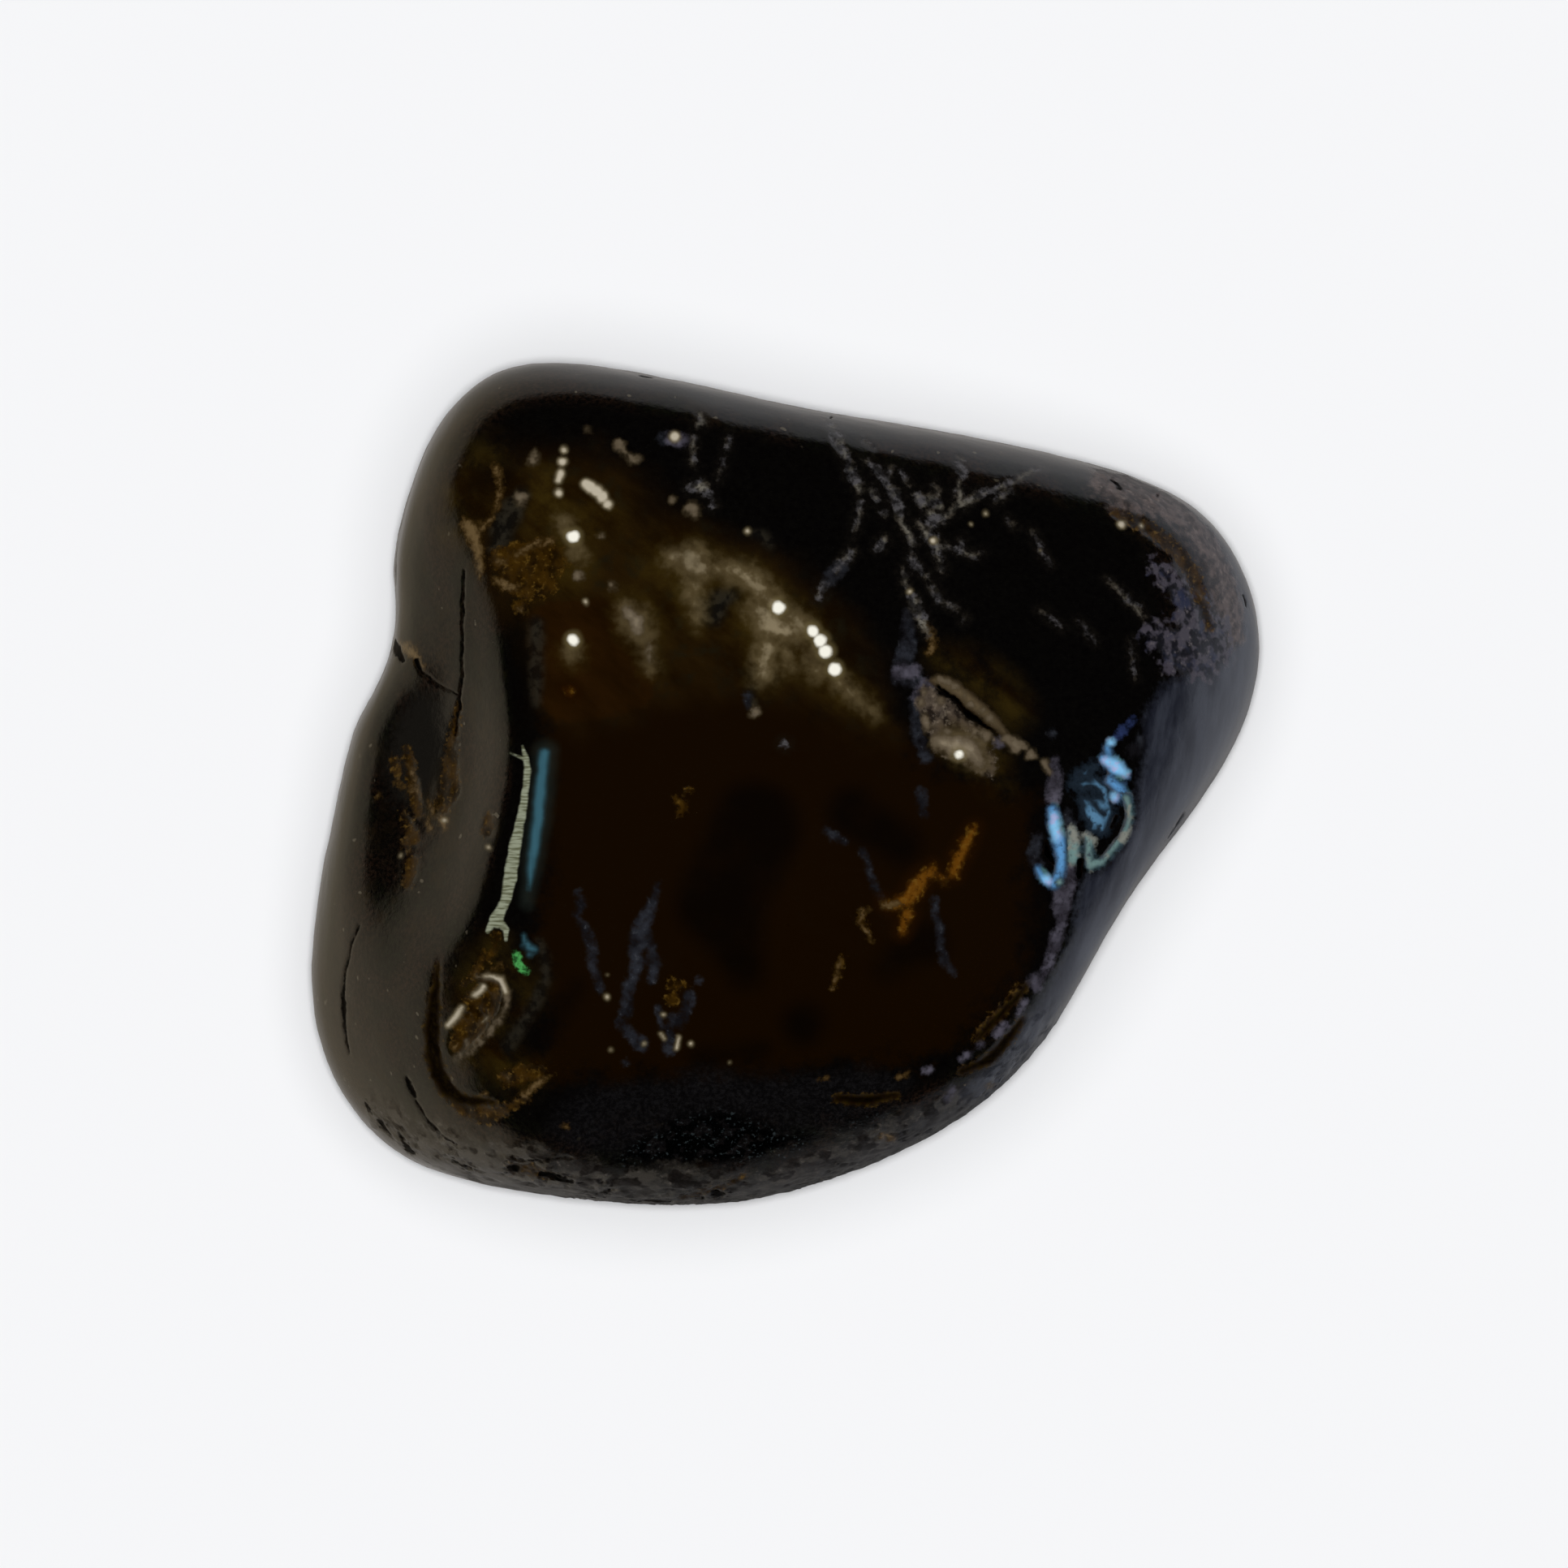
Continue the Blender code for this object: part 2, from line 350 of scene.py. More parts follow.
# Dull blue-grey threads under the polish.
DUSK = {
    "spots": dots((-4.35, -7.65, 0.08)) + (((-1, 2.4, 0.11), (-1, 2.2, 0.09)),),
    "veil_foot": (
        ((3.4, 4.7, 0.13), (3.4, 3.75, 0.22), (3.2, 3, 0.27), (3.65, 2.85, 0.22)),
        ((3.6, 2.35, 0.13), (3.65, 1.45, 0.16), (3.9, 0.75, 0.18)),
        ((1.55, 5.95, 0.18), (1.25, 5.65, 0.22)),
    ),
    "short": (
        ((3.75, -0.2, 0.13), (3.85, -0.8, 0.11)),
        ((1.15, -1.25, 0.07), (1.4, -1.45, 0.11), (1.7, -1.6, 0.07)),
        ((2.15, -1.85, 0.09), (2.3, -2.1, 0.07), (2.35, -2.45, 0.06), (2.5, -2.8, 0.09),
         (2.7, -3.2, 0.07)),
        ((4.15, -3.2, 0.11), (4.15, -3.6, 0.09), (4.3, -3.95, 0.11), (4.3, -4.5, 0.1),
         (4.4, -4.85, 0.11), (4.65, -5.2, 0.07)),
    ),
    "left_line": (
        ((-5.65, -3, 0.09), (-5.6, -3.35, 0.13), (-5.7, -3.6, 0.07), (-5.5, -3.9, 0.09),
         (-5.35, -4.2, 0.16), (-5.25, -4.6, 0.11), (-5.25, -4.95, 0.13), (-5.15, -5.3, 0.09),
         (-5.05, -5.65, 0.11)),
    ),
    "wide_line": (
        ((-3.45, -2.75, 0.07), (-3.6, -3.25, 0.13), (-3.75, -3.6, 0.18), (-3.9, -3.9, 0.22),
         (-3.95, -4.25, 0.29), (-4.1, -4.6, 0.2), (-4, -4.95, 0.18), (-4.15, -5.35, 0.13),
         (-4.3, -5.65, 0.16)),
        ((-3.65, -4.45, 0.13), (-3.55, -4.95, 0.16), (-3.65, -5.4, 0.09)),
    ),
    "oval": (((-4.3, -5.9, 0.13), (-4.35, -6.25, 0.18)),),
    "foot": dots(
        (-2.35, -5.4, 0.09),
    ) + (
        ((-4.55, -6.5, 0.09), (-4.3, -6.8, 0.13), (-3.95, -7.15, 0.2)),
        ((-2.6, -5.85, 0.16), (-2.65, -6.15, 0.13), (-2.85, -6.55, 0.16), (-3.05, -6.45, 0.13)),
        ((-3.15, -7.3, 0.16), (-3.15, -6.65, 0.09)), ((-3.45, -6.15, 0.09), (-3.35, -6.65, 0.07)),
    ),
    "hook_back": (
        ((7.05, -2.4, 0.13), (6.85, -1.95, 0.18), (6.95, -1.55, 0.16), (7.05, -1.4, 0.07)),
        ((7.85, -1.2, 0.18), (7.8, -0.8, 0.11)),
    ),
    "film_shadow": dots((7.35, 1.4, 0.11)) + (((9.65, 0.9, 0.2), (9.8, 1.2, 0.13)),),
    "back_purple": dots((-3.3, 9.5, 0.16)),
}
# Grey-mauve crumbs along the edges.
MAUVE = {
    "back": (((-3.1, 9.5, 0.16), (-2.8, 9.45, 0.18)),),
    "ridge_side": dots((5.9, 1.15, 0.16)) + (((3.15, 3.1, 0.18), (3.55, 3.1, 0.2)),),
    "rock_side": (((3.9, 2.7, 0.2), (3.7, 2.4, 0.18)), ((4.45, 1.8, 0.27), (4.75, 1.55, 0.22))),
    "front_edge": dots(
        (5.4, -7.2, 0.09),
    ) + (
        ((7.25, -5, 0.11), (6.95, -5.45, 0.13)), ((6.6, -6, 0.09), (6.45, -6.3, 0.07)),
        ((6.1, -6.6, 0.11), (5.85, -6.85, 0.11)), ((5.05, -7.45, 0.09), (4.9, -7.55, 0.07)),
        ((4, -7.85, 0.09), (3.85, -7.9, 0.04)), ((4.65, -8.4, 0.09), (4.5, -8.65, 0.11)),
    ),
    "bead": (((6.85, -5.4, 0.16), (6.95, -5.6, 0.13)),),
    "hook_top": (((7.45, 0.55, 0.13), (7.45, 0.1, 0.18), (7.4, -0.45, 0.18)),),
    "stem": (
        ((7.8, -2.1, 0.18), (7.8, -2.35, 0.22), (7.7, -2.8, 0.27), (7.65, -3.3, 0.27),
         (7.65, -3.75, 0.13)),
        ((7.6, -3.9, 0.13), (7.45, -4.35, 0.16), (7.25, -4.95, 0.11)),
    ),
}
# Rusty rock in the pits, creases and dish.
OCHRE = {
    "rock": (
        ((-7.8, 6.2, 0.31), (-7.35, 6.2, 0.45), (-6.85, 6.2, 0.49), (-6.3, 6.15, 0.4)),
        ((-7.5, 5.6, 0.31), (-7, 5.45, 0.4), (-6.55, 5.55, 0.36)),
    ),
    "rock_foot": dots((-7.25, 4.9, 0.18)),
    "dish": (
        ((-10.75, 0.7, 0.09), (-10.65, 0.3, 0.13)),
        ((-9.1, 0.9, 0.11), (-9.2, 0.35, 0.2), (-9.15, -0.2, 0.22), (-9.4, -0.65, 0.18)),
        ((-10.35, -2.7, 0.16), (-10.25, -2.15, 0.16)),
        ((-10.4, 1, 0.09), (-10.3, 0.45, 0.16), (-10.2, -0.2, 0.16), (-10.1, -0.8, 0.13)),
        ((-10.5, -0.8, 0.07), (-10.2, -1.5, 0.18), (-10.5, -1.65, 0.09)),
        ((-8.1, -0.9, 0.11), (-8.15, -1.3, 0.18)),
    ),
    "crease": (
        ((-8.95, 2.2, 0.07), (-9.05, 1.6, 0.13), (-9.2, 0.9, 0.13), (-9.3, 0.25, 0.13),
         (-9.45, -0.45, 0.11)),
    ),
    "groove": (
        ((-9.55, -4.95, 0.03), (-9.6, -5.55, 0.09), (-9.65, -6.15, 0.16), (-9.7, -6.85, 0.19),
         (-9.65, -7.5, 0.2), (-9.5, -8, 0.2), (-9.3, -8.35, 0.2), (-8.95, -8.65, 0.16),
         (-8.45, -8.75, 0.11), (-7.95, -8.75, 0.04)),
    ),
    "groove_foot": (
        ((-9.1, -8.65, 0.18), (-8.7, -8.9, 0.27), (-8.15, -9.15, 0.22), (-7.55, -8.9, 0.13),
         (-7.05, -8.65, 0.09)),
    ),
    "strands": (
        ((-7.9, -4.15, 0.07), (-7.95, -4.5, 0.09), (-8.15, -4.85, 0.11)),
        ((-8.25, -4.65, 0.07), (-8.45, -5.15, 0.11), (-8.8, -5.55, 0.09)),
    ),
    "pit_bowl": (((-8.1, -5.6, 0.36), (-8.4, -6.1, 0.49), (-8.75, -6.7, 0.4), (-9, -7.2, 0.2)),),
    "foot_patch": (((-7.65, -8.1, 0.22), (-7.15, -8, 0.29), (-6.7, -7.9, 0.18)),),
    "rust": dots((-3.05, -5.9, 0.2)) + (((-3.1, -5.5, 0.16), (-2.8, -5.5, 0.11)),),
    "leaves": dots(
        (-2.6, -0.15, 0.07),
    ) + (
        ((2.05, -3.7, 0.11), (2.25, -3.95, 0.07)), ((1.6, -4.8, 0.07), (1.4, -5.5, 0.09)),
        ((-2.95, -0.4, 0.11), (-2.75, -0.6, 0.13), (-2.9, -0.85, 0.07)),
    ),
    "right_corner": (
        ((9.1, 7.45, 0.11), (9.65, 7.25, 0.18), (10.3, 6.9, 0.2), (10.8, 6.4, 0.2),
         (11.2, 5.9, 0.2), (11.4, 5.35, 0.18), (11.6, 4.8, 0.11), (11.7, 4.3, 0.07)),
    ),
    "front_band": (
        ((6.4, -5.55, 0.03), (5.95, -6.1, 0.04), (5.55, -6.6, 0.06), (5.2, -6.9, 0.04)),
    ),
    "front_rust": (
        ((1.45, -8.65, 0.09), (2.25, -8.7, 0.13), (3.1, -8.55, 0.07)),
        ((6.75, -5.4, 0.04), (6.4, -5.9, 0.08), (5.95, -6.35, 0.09), (5.35, -7, 0.07)),
        ((6.55, -6.5, 0.07), (6.1, -7.1, 0.13), (5.65, -7.6, 0.13), (4.9, -7.9, 0.09)),
    ),
    "front_patch": dots(
        (-1.85, -11.25, 0.11),
    ) + (
        ((-7.45, -10.6, 0.16), (-7, -10.6, 0.18), (-6.35, -10.8, 0.13)),
        ((-2.85, -11.4, 0.07), (-2.15, -11.2, 0.07), (-1.55, -11.05, 0.07), (-1.1, -10.75, 0.04)),
    ),
    "chips": dots((4.3, 1.95, 0.13)) + (((4.4, -2.7, 0.11), (4.15, -2.55, 0.09)),),
}
# The copper-coloured strands.
COPPER = {
    "upper": (((5.25, -1.2, 0.11), (5, -1.65, 0.18), (4.8, -2.05, 0.2), (4.65, -2.45, 0.16)),),
    "lower": (
        ((4.1, -2.35, 0.16), (3.9, -2.5, 0.2), (3.6, -2.85, 0.25), (3.35, -3.2, 0.22),
         (3, -3.35, 0.18), (2.75, -3.25, 0.11)),
    ),
    "foot": (((3.4, -3.55, 0.18), (3.25, -4.05, 0.13)),),
    "link": (((4.15, -2.4, 0.09), (4.4, -2.6, 0.09), (4.6, -2.55, 0.09)),),
    "spark": (((-6, 2.6, 0.04), (-5.9, 2.55, 0.08), (-5.75, 2.5, 0.04)),),
}
# Painted sheen: the blue curl, where rough pits mirror cool blue light.
BLUE_SHEEN = {
    "hook": (
        ((7.4, -0.7, 0.18), (7.45, -1.15, 0.22), (7.6, -1.65, 0.24), (7.65, -2, 0.2),
         (7.6, -2.45, 0.18), (7.45, -2.75, 0.18), (7.2, -2.65, 0.18), (7, -2.35, 0.13)),
    ),
    "crown": (((8.8, 0.7, 0.18), (9.1, 0.5, 0.27), (9.4, 0.25, 0.16)),),
    "collar": (((8.9, 1, 0.13), (8.95, 0.8, 0.13)),),
    "ring": (((9, 0.1, 0.2), (9.3, -0.15, 0.18), (9.45, -0.5, 0.13)),),
    "inner": dots((9.15, -0.4, 0.16)),
    "tail": dots((9, 1.15, 0.12)),
}
# Painted highlights: the brightest parts of the blue curl.
CROWN_HIGHLIGHTS = {
    "light": dots(
        (7.25, -2.65, 0.07), (9, 1.15, 0.04), (9.1, -0.35, 0.06),
    ) + (
        ((8.85, 0.65, 0.04), (9.1, 0.55, 0.1), (9.4, 0.3, 0.04)),
        ((7.45, -0.9, 0.06), (7.5, -1.45, 0.07)),
    ),
}
# The paler curl beside it.
AQUA = {
    "ring": (
        ((9.45, -0.4, 0.13), (9.55, -0.85, 0.11), (9.35, -1.5, 0.12), (9, -1.85, 0.12),
         (8.75, -2.15, 0.13), (8.45, -2.25, 0.16), (8.4, -1.85, 0.13), (8.45, -1.55, 0.16),
         (8.3, -1.4, 0.09)),
    ),
    "hook_side": dots(
        (7.6, -2.7, 0.13),
    ) + (
        ((7.9, -1.25, 0.13), (8, -1.7, 0.2), (7.95, -2.1, 0.18)),
    ),
}
# Slate-blue stone in the blue curl.
SLATE = {
    "inside": (
        ((8.15, -0.05, 0.18), (8.5, 0.1, 0.18), (8.8, -0.15, 0.2), (8.95, -0.8, 0.18),
         (8.75, -1.25, 0.18)),
    ),
    "arc": (((7.95, -0.05, 0.13), (8.15, 0.25, 0.16), (8.5, 0.45, 0.16)),),
    "rocks": (
        ((8.25, -0.45, 0.16), (8.45, -0.8, 0.27), (8.65, -1, 0.29), (8.5, -1.2, 0.18)),
        ((8.55, -0.45, 0.2), (8.8, -0.7, 0.2)),
    ),
}
# Faint grey smoke.
SMOKE = {
    "pit_side": (
        ((-6.7, -4.35, 0.07), (-6.55, -4.85, 0.09), (-6.55, -5.35, 0.09), (-6.75, -5.85, 0.11),
         (-7, -6.3, 0.13), (-7.3, -6.75, 0.13), (-7.6, -7.25, 0.13)),
    ),
    "corner": (((-7.9, 6.5, 0.2), (-7.75, 7.05, 0.29), (-7.45, 7.55, 0.29), (-7.2, 7.95, 0.18)),),
    "pocket": (((-2.25, 4.95, 0.18), (-2, 4.65, 0.31), (-1.85, 5.05, 0.27), (-1.4, 5.25, 0.18)),),
    "ring": (((-0.75, 6.85, 0.07), (-0.55, 6.8, 0.11), (-0.4, 6.6, 0.09)),),
    "band": (((-6.8, 4.4, 0.18), (-6.8, 3.25, 0.16), (-6.8, 2.25, 0.09)),),
    "under_drip": (((-0.9, 2.6, 0.09), (-0.9, 2.2, 0.11)),),
}
# Violet next to the blue.
VIOLET = {
    "strand": (((9.15, 1.3, 0.07), (9.35, 1.5, 0.1), (9.65, 1.8, 0.04)),),
}
# Painted reflection: the iridescent teal line beside the streak, and a spot below it.
TEAL_REFLECTION = {
    "streak": (
        ((-6.6, 0.85, 0.13), (-6.65, 0.25, 0.15), (-6.75, -0.8, 0.15), (-6.85, -1.65, 0.15),
         (-6.95, -2.25, 0.11), (-7, -2.9, 0.04)),
    ),
    "knot": dots(
        (-7, -4.7, 0.07), (-7.2, -4.45, 0.04),
    ) + (
        ((-7.15, -4.15, 0.04), (-7.1, -4.35, 0.09), (-7, -4.5, 0.11), (-6.85, -4.55, 0.07)),
    ),
}
# Painted reflection: the teal line's dim glow.
TEAL_REFLECTION_GLOW = {
    "glow": (((-6.55, 0.9, 0.36), (-6.7, -0.8, 0.36), (-6.9, -2.1, 0.31), (-7.05, -3.25, 0.22)),),
}
# Places where the stone is darker still.
SHADE = {
    "table": dots(
        (0.55, -6.6, 0.67),
    ) + (
        ((-0.8, -1.2, 1.35), (-1.7, -3.25, 1.35), (-1.05, -5.05, 0.67)),
        ((1.9, -0.8, 0.79), (3.2, -1.65, 0.67)), ((3.9, -4.35, 0.67), (2.8, -5.05, 0.45)),
        ((-2.4, -7.5, 0.27), (-0.6, -7.3, 0.31)),
    ),
    "gap": (
        ((-5.7, -5.6, 0.27), (-6.2, -6.45, 0.31), (-6.85, -7.15, 0.27), (-7.35, -7.5, 0.16)),
        ((7, 0.1, 0.18), (6.95, -0.8, 0.18), (7.05, -4.8, 0.22), (6.9, -3.45, 0.22)),
        ((-7.6, 7, 0.36), (-7.75, 6.4, 0.22)), ((-1.35, 5.15, 0.27), (-1.95, 4.75, 0.27)),
    ),
    "green_gap": (
        ((-7.45, -5.25, 0.13), (-7.1, -5.45, 0.18), (-6.85, -5.2, 0.16), (-6.8, -4.9, 0.13)),
    ),
    "under_flank": (
        ((-7.35, 4.85, 0.27), (-7.1, 3.05, 0.34), (-7.35, 1.45, 0.2)),
        ((-8.1, -2.55, 0.18), (-8.3, -3.25, 0.2)),
    ),
}
# Painted highlight: the green spot, an iridescent flash.
GREEN_FLASH = {
    "spot": (((-7.4, -4.65, 0.08), (-7.35, -4.8, 0.11), (-7.25, -5, 0.1), (-7.1, -5.15, 0.09)),),
}
# Painted highlight: the pale ribbed streak, a lamp's reflection along the left edge, and its forked
# foot.
HIGHLIGHT_STREAK = {
    "strand": (
        ((-7.2, 1.05, 0.04), (-7.1, 0.75, 0.09), (-7.05, 0.35, 0.1), (-7.1, -0.2, 0.11),
         (-7.2, -0.85, 0.13), (-7.35, -1.55, 0.18), (-7.45, -2.15, 0.19), (-7.55, -2.7, 0.18),
         (-7.65, -3.2, 0.16), (-7.75, -3.45, 0.15), (-7.9, -3.75, 0.22)),
    ),
    "feet": (
        ((-7.95, -3.75, 0.13), (-8.1, -3.95, 0.11), (-8.15, -4.05, 0.07)),
        ((-7.8, -3.8, 0.13), (-7.65, -4, 0.11), (-7.65, -4.3, 0.06)),
    ),
    "tip": (((-7.5, 0.85, 0.03), (-7.35, 0.8, 0.04), (-7.15, 0.7, 0.07)),),
}
# Cracks, slits and small holes.
CRACKS = {
    "crease": (
        ((-8.8, 5.85, 0.02), (-8.85, 4.4, 0.03), (-8.85, 3.05, 0.03), (-8.9, 2.45, 0.04),
         (-9, 1.9, 0.04), (-9.1, 1.35, 0.02)),
    ),
    "notch": (
        ((-10.8, 4.05, 0.07), (-10.65, 3.65, 0.11), (-10.5, 3.4, 0.07)),
        ((-10.1, 3.4, 0.07), (-10, 3.1, 0.04), (-9.45, 2.7, 0.02), (-9, 2.45, 0.02)),
    ),
    "left": (
        ((-11.7, -3.9, 0.03), (-11.9, -4.35, 0.03), (-12.05, -4.95, 0.03), (-12.15, -5.6, 0.04),
         (-12.15, -6.15, 0.06), (-12.1, -6.85, 0.04), (-12, -7.45, 0.03)),
    ),
    "slit": (
        ((-10.4, -8.05, 0.03), (-10.3, -8.3, 0.07), (-10.15, -8.6, 0.04)),
        ((-10.15, -8.7, 0.02), (-9.8, -9.3, 0.03), (-9.45, -9.65, 0.02), (-9.1, -9.9, 0.02)),
    ),
    "rim": (
        ((-11.55, -8.8, 0.03), (-11.4, -9, 0.03)),
        ((-11.2, -9.25, 0.03), (-11.05, -9.45, 0.07), (-10.85, -9.65, 0.03)),
        ((-10.65, -9.6, 0.02), (-10.5, -9.85, 0.03)),
        ((-10.5, -9.9, 0.04), (-10.35, -10.1, 0.09), (-10.2, -10.2, 0.03)),
        ((-9.15, -10.4, 0.02), (-8.9, -10.5, 0.03), (-8.6, -10.6, 0.02)),
    ),
    "front_patch": (
        ((-7.55, -10.6, 0.08), (-7.35, -10.65, 0.07)),
        ((-6.7, -10.75, 0.06), (-6.3, -10.85, 0.1), (-5.8, -10.95, 0.04)),
        ((-7.5, -10.4, 0.02), (-7.05, -10.35, 0.03), (-6.6, -10.4, 0.02)),
        ((-6.55, -10.3, 0.03), (-5.9, -10.25, 0.02)),
    ),
    "front_pits": dots(
        (-2.25, -11.4, 0.04), (1.55, -10.85, 0.03), (-5, -10.95, 0.02),
    ) + (
        ((-5.7, -11.4, 0.02), (-5.5, -11.45, 0.04), (-5.25, -11.4, 0.02)),
        ((-5, -11.25, 0.06), (-4.8, -11.2, 0.03)),
        ((-4, -11.55, 0.03), (-3.65, -11.5, 0.06), (-3.15, -11.5, 0.03)),
        ((-2.7, -11.6, 0.02), (-2.45, -11.6, 0.04)), ((-1.95, -11.3, 0.08), (-1.7, -11.3, 0.07)),
        ((-1.4, -11.55, 0.03), (-1.05, -11.55, 0.06), (-0.75, -11.55, 0.02)),
        ((0.75, -11.05, 0.04), (0.95, -10.95, 0.04)), ((0.4, -11.25, 0.03), (0.65, -11.15, 0.02)),
    ),
    "right": (((11, -0.85, 0.02), (10.8, -1.2, 0.03), (10.6, -1.5, 0.02)),),
    "ridge_foot": (
        ((4.2, 2.7, 0.03), (4.55, 2.45, 0.04), (4.85, 2.2, 0.05), (5.1, 1.9, 0.07),
         (5.45, 1.65, 0.04), (5.8, 1.45, 0.02)),
    ),
    "hollows": (
        ((7.2, -1.6, 0.04), (7.25, -1.95, 0.09), (7.4, -2.2, 0.04)),
        ((9.15, -0.9, 0.04), (9, -1.2, 0.04)), ((8.15, -2.1, 0.07), (8.1, -2.55, 0.07)),
    ),
    "chips": dots(
        (5, 8.25, 0.04), (10.3, 7.95, 0.04), (1.3, 10.1, 0.04),
    ) + (
        ((9, 8.4, 0.04), (9.3, 8.15, 0.04)), ((12.65, 5.2, 0.03), (12.75, 4.9, 0.03)),
        ((-3.95, 11.25, 0.04), (-3.65, 11.2, 0.03)),
    ),
}
# The sparkling hollow at the front.
GRAINS = {
    "front": (
        ((-4.4, -10.35, 0.13), (-3.75, -10.05, 0.31), (-2.6, -9.9, 0.49), (-1.15, -9.8, 0.58),
         (-0.05, -9.95, 0.36), (0.75, -9.8, 0.13)),
        ((-3.05, -9.45, 0.22), (-1.5, -9.2, 0.22)), ((1.65, -9.55, 0.18), (2.8, -9.25, 0.18)),
    ),
}
# Where light glows honey-brown inside.
HONEY = {
    "back_left": dots(
        (-5.1, 7.3, 0.67),
    ) + (
        ((-6.6, 8, 0.81), (-6.45, 7.3, 0.9), (-6.2, 5.95, 0.81)),
        ((-8.9, 7.8, 0.49), (-8.5, 7.5, 0.36)),
    ),
    "glow": (
        ((-3.05, 6.2, 0.94), (-2.4, 5.4, 0.9)),
        ((-0.95, 4.85, 1.01), (0.4, 3.95, 0.72), (1.65, 2.6, 0.45)),
    ),
    "drop": dots((-4.1, 4.5, 0.79), (-5.7, 5.95, 0.45), (-5.8, 3.7, 0.45)),
    "ridge": (
        ((4.35, 3.45, 0.31), (5, 3.15, 0.49), (5.75, 2.65, 0.54), (6.3, 2.05, 0.45)),
        ((5.75, 0.55, 0.45), (5.9, 0, 0.27)),
    ),
    "left": dots(
        (-9.15, 6.85, 0.22),
    ) + (
        ((-9.15, 7.75, 0.45), (-8.6, 8.9, 0.4), (-7.8, 9.2, 0.31)),
    ),
    "front_left": (
        ((-8, -4.5, 0.36), (-8.45, -5.95, 0.76), (-8.25, -7.3, 0.81), (-7.35, -7.9, 0.63)),
    ),
    "pit_right": (((-7.35, -5.1, 0.36), (-7.05, -5.65, 0.4), (-7.35, -6.4, 0.36)),),
    "dish": (((-9.1, 0.1, 0.31), (-9.4, -0.8, 0.31)),),
}

# Areas seen from above: outlines, as places right of and behind the core.
TABLE_OUTLINE = (
    (-6.55, 1.35), (-5.9, 4.6), (-2.4, 3.95), (-0.15, 2.6), (3, 1.35), (4.8, 0.35), (6.65, -0.45),
    (6.75, -2.35), (6.65, -4.6), (5.8, -6.4), (4.1, -7.5), (0.75, -7.8), (-1.95, -8), (-5.55, -8.1),
    (-6.85, -7.95), (-6.2, -5.95), (-6.7, -4.35),
)
AMBER_OUTLINE = (
    (-8.25, 8.2), (-7.1, 9.1), (-5.3, 9.1), (-3.75, 7.9), (-2.15, 6.75), (-0.15, 5.85), (1.2, 4.85),
    (2.2, 3.4), (3, 1.45), (1.2, 1.7), (-0.8, 2.8), (-3.75, 2.35), (-5.55, 1.7), (-6.6, 2.15),
    (-7, 4.15), (-8.25, 5.65), (-8.9, 6.65),
)
# A rough film on the right rim; its blue-grey tint is a painted reflection of cool light.
FILM_AND_SHEEN_OUTLINE = (
    (10.45, 2.7), (9.95, 1.9), (9.95, 0.75), (9.75, -0.05), (9.65, -1), (9.3, -1.75), (8.8, -2.35),
    (8.35, -2.55), (8.1, -3.1), (7.95, -4.15), (7.5, -5.25), (6.8, -6.4), (6.05, -7.5),
    (4.8, -8.55), (6.15, -9.75), (14.25, -0.8), (14.7, 5.95), (12.65, 5.95), (12.35, 3.7),
)
PINK_CRUST = (
    (8.55, 8.8), (9.75, 8.8), (10.85, 8.2), (12, 7.1), (12.55, 5.75), (12.8, 3.95), (12.25, 3.7),
    (11.95, 4.85), (11.7, 5.95), (11.15, 6.85), (10.4, 7.4), (9.3, 7.6), (8.4, 8.2),
)
GREY_CRUST = (
    (9.95, 6.2), (10.5, 6), (10.95, 5.55), (11.5, 5.45), (11.85, 4.65), (12.25, 4.4), (12.3, 3.4),
    (11.75, 2.9), (10.85, 3), (10.4, 3.45), (9.9, 4.05), (10.1, 4.4), (10.8, 4.3), (10.85, 4.85),
    (10.45, 5.35),
)
DISH_HAZE = (
    (-10.15, 2.6), (-9, 2.35), (-9, 1), (-9.3, -0.2), (-10.05, -0.8), (-10.65, -0.45), (-11, 0.55),
    (-10.7, 1.7),
)
RIDGE_OUTLINE = (
    (3.9, 2.85), (4.25, 3), (4.55, 3), (4.8, 2.8), (5.3, 2.4), (5.85, 1.9), (6.2, 1.35),
    (6.1, 1.25), (5.6, 1.6), (5, 2.1), (4.5, 2.5), (4.1, 2.7),
)
ROCK_OUTLINE = (
    (3.9, 2.8), (3.65, 2.45), (3.6, 2.15), (3.75, 1.9), (3.8, 1.55), (4.05, 1.25), (4.1, 0.95),
    (4.35, 0.8), (4.7, 0.6), (5, 0.5), (5.35, 0.3), (5.65, 0.1), (5.85, 0.4), (5.75, 0.85),
    (5.5, 1.1), (5.8, 1.25), (5.45, 1.55), (5.1, 1.7), (4.9, 1.9), (4.55, 2.25), (4.2, 2.5),
)
DOME_OUTLINE = (
    (-7.05, 4.65), (-6.6, 4.95), (-6, 5.05), (-4.9, 5.1), (-4.25, 4.75), (-3.65, 4), (-3.45, 3.05),
    (-3.75, 2.2), (-5.1, 1.8), (-6.2, 1.7), (-6.85, 2.35), (-7, 3.5),
)
STEP_OUTLINE = (
    (-9.45, -4.8), (-9.65, -5.5), (-9.8, -6.35), (-9.85, -7.05), (-9.75, -7.65), (-9.55, -8.1),
    (-9.3, -8.45), (-8.8, -8.7), (-8.2, -8.9), (-7.55, -8.95), (-7, -8.7), (-6, -8.1), (-5.1, -7.3),
    (-5.55, -5.25), (-6.65, -4.15), (-8.25, -4.05),
)
FRONT_CRUST = (
    (-11.5, -8.55), (-10.05, -9.25), (-8.25, -9.8), (-6.45, -10.1), (-4.65, -10.55), (-2.4, -10.65),
    (-0.15, -10.6), (1.45, -10), (2.55, -9.35), (3.9, -8.85), (5, -8.4), (5.8, -7.5), (6.65, -6.65),
    (7.3, -5.85), (7.7, -6.4), (6.8, -8.2), (4.8, -10.2), (2.55, -11.35), (-0.15, -12.25),
    (-2.4, -12.25), (-6, -12), (-9.15, -11.1), (-11.85, -9.55),
)
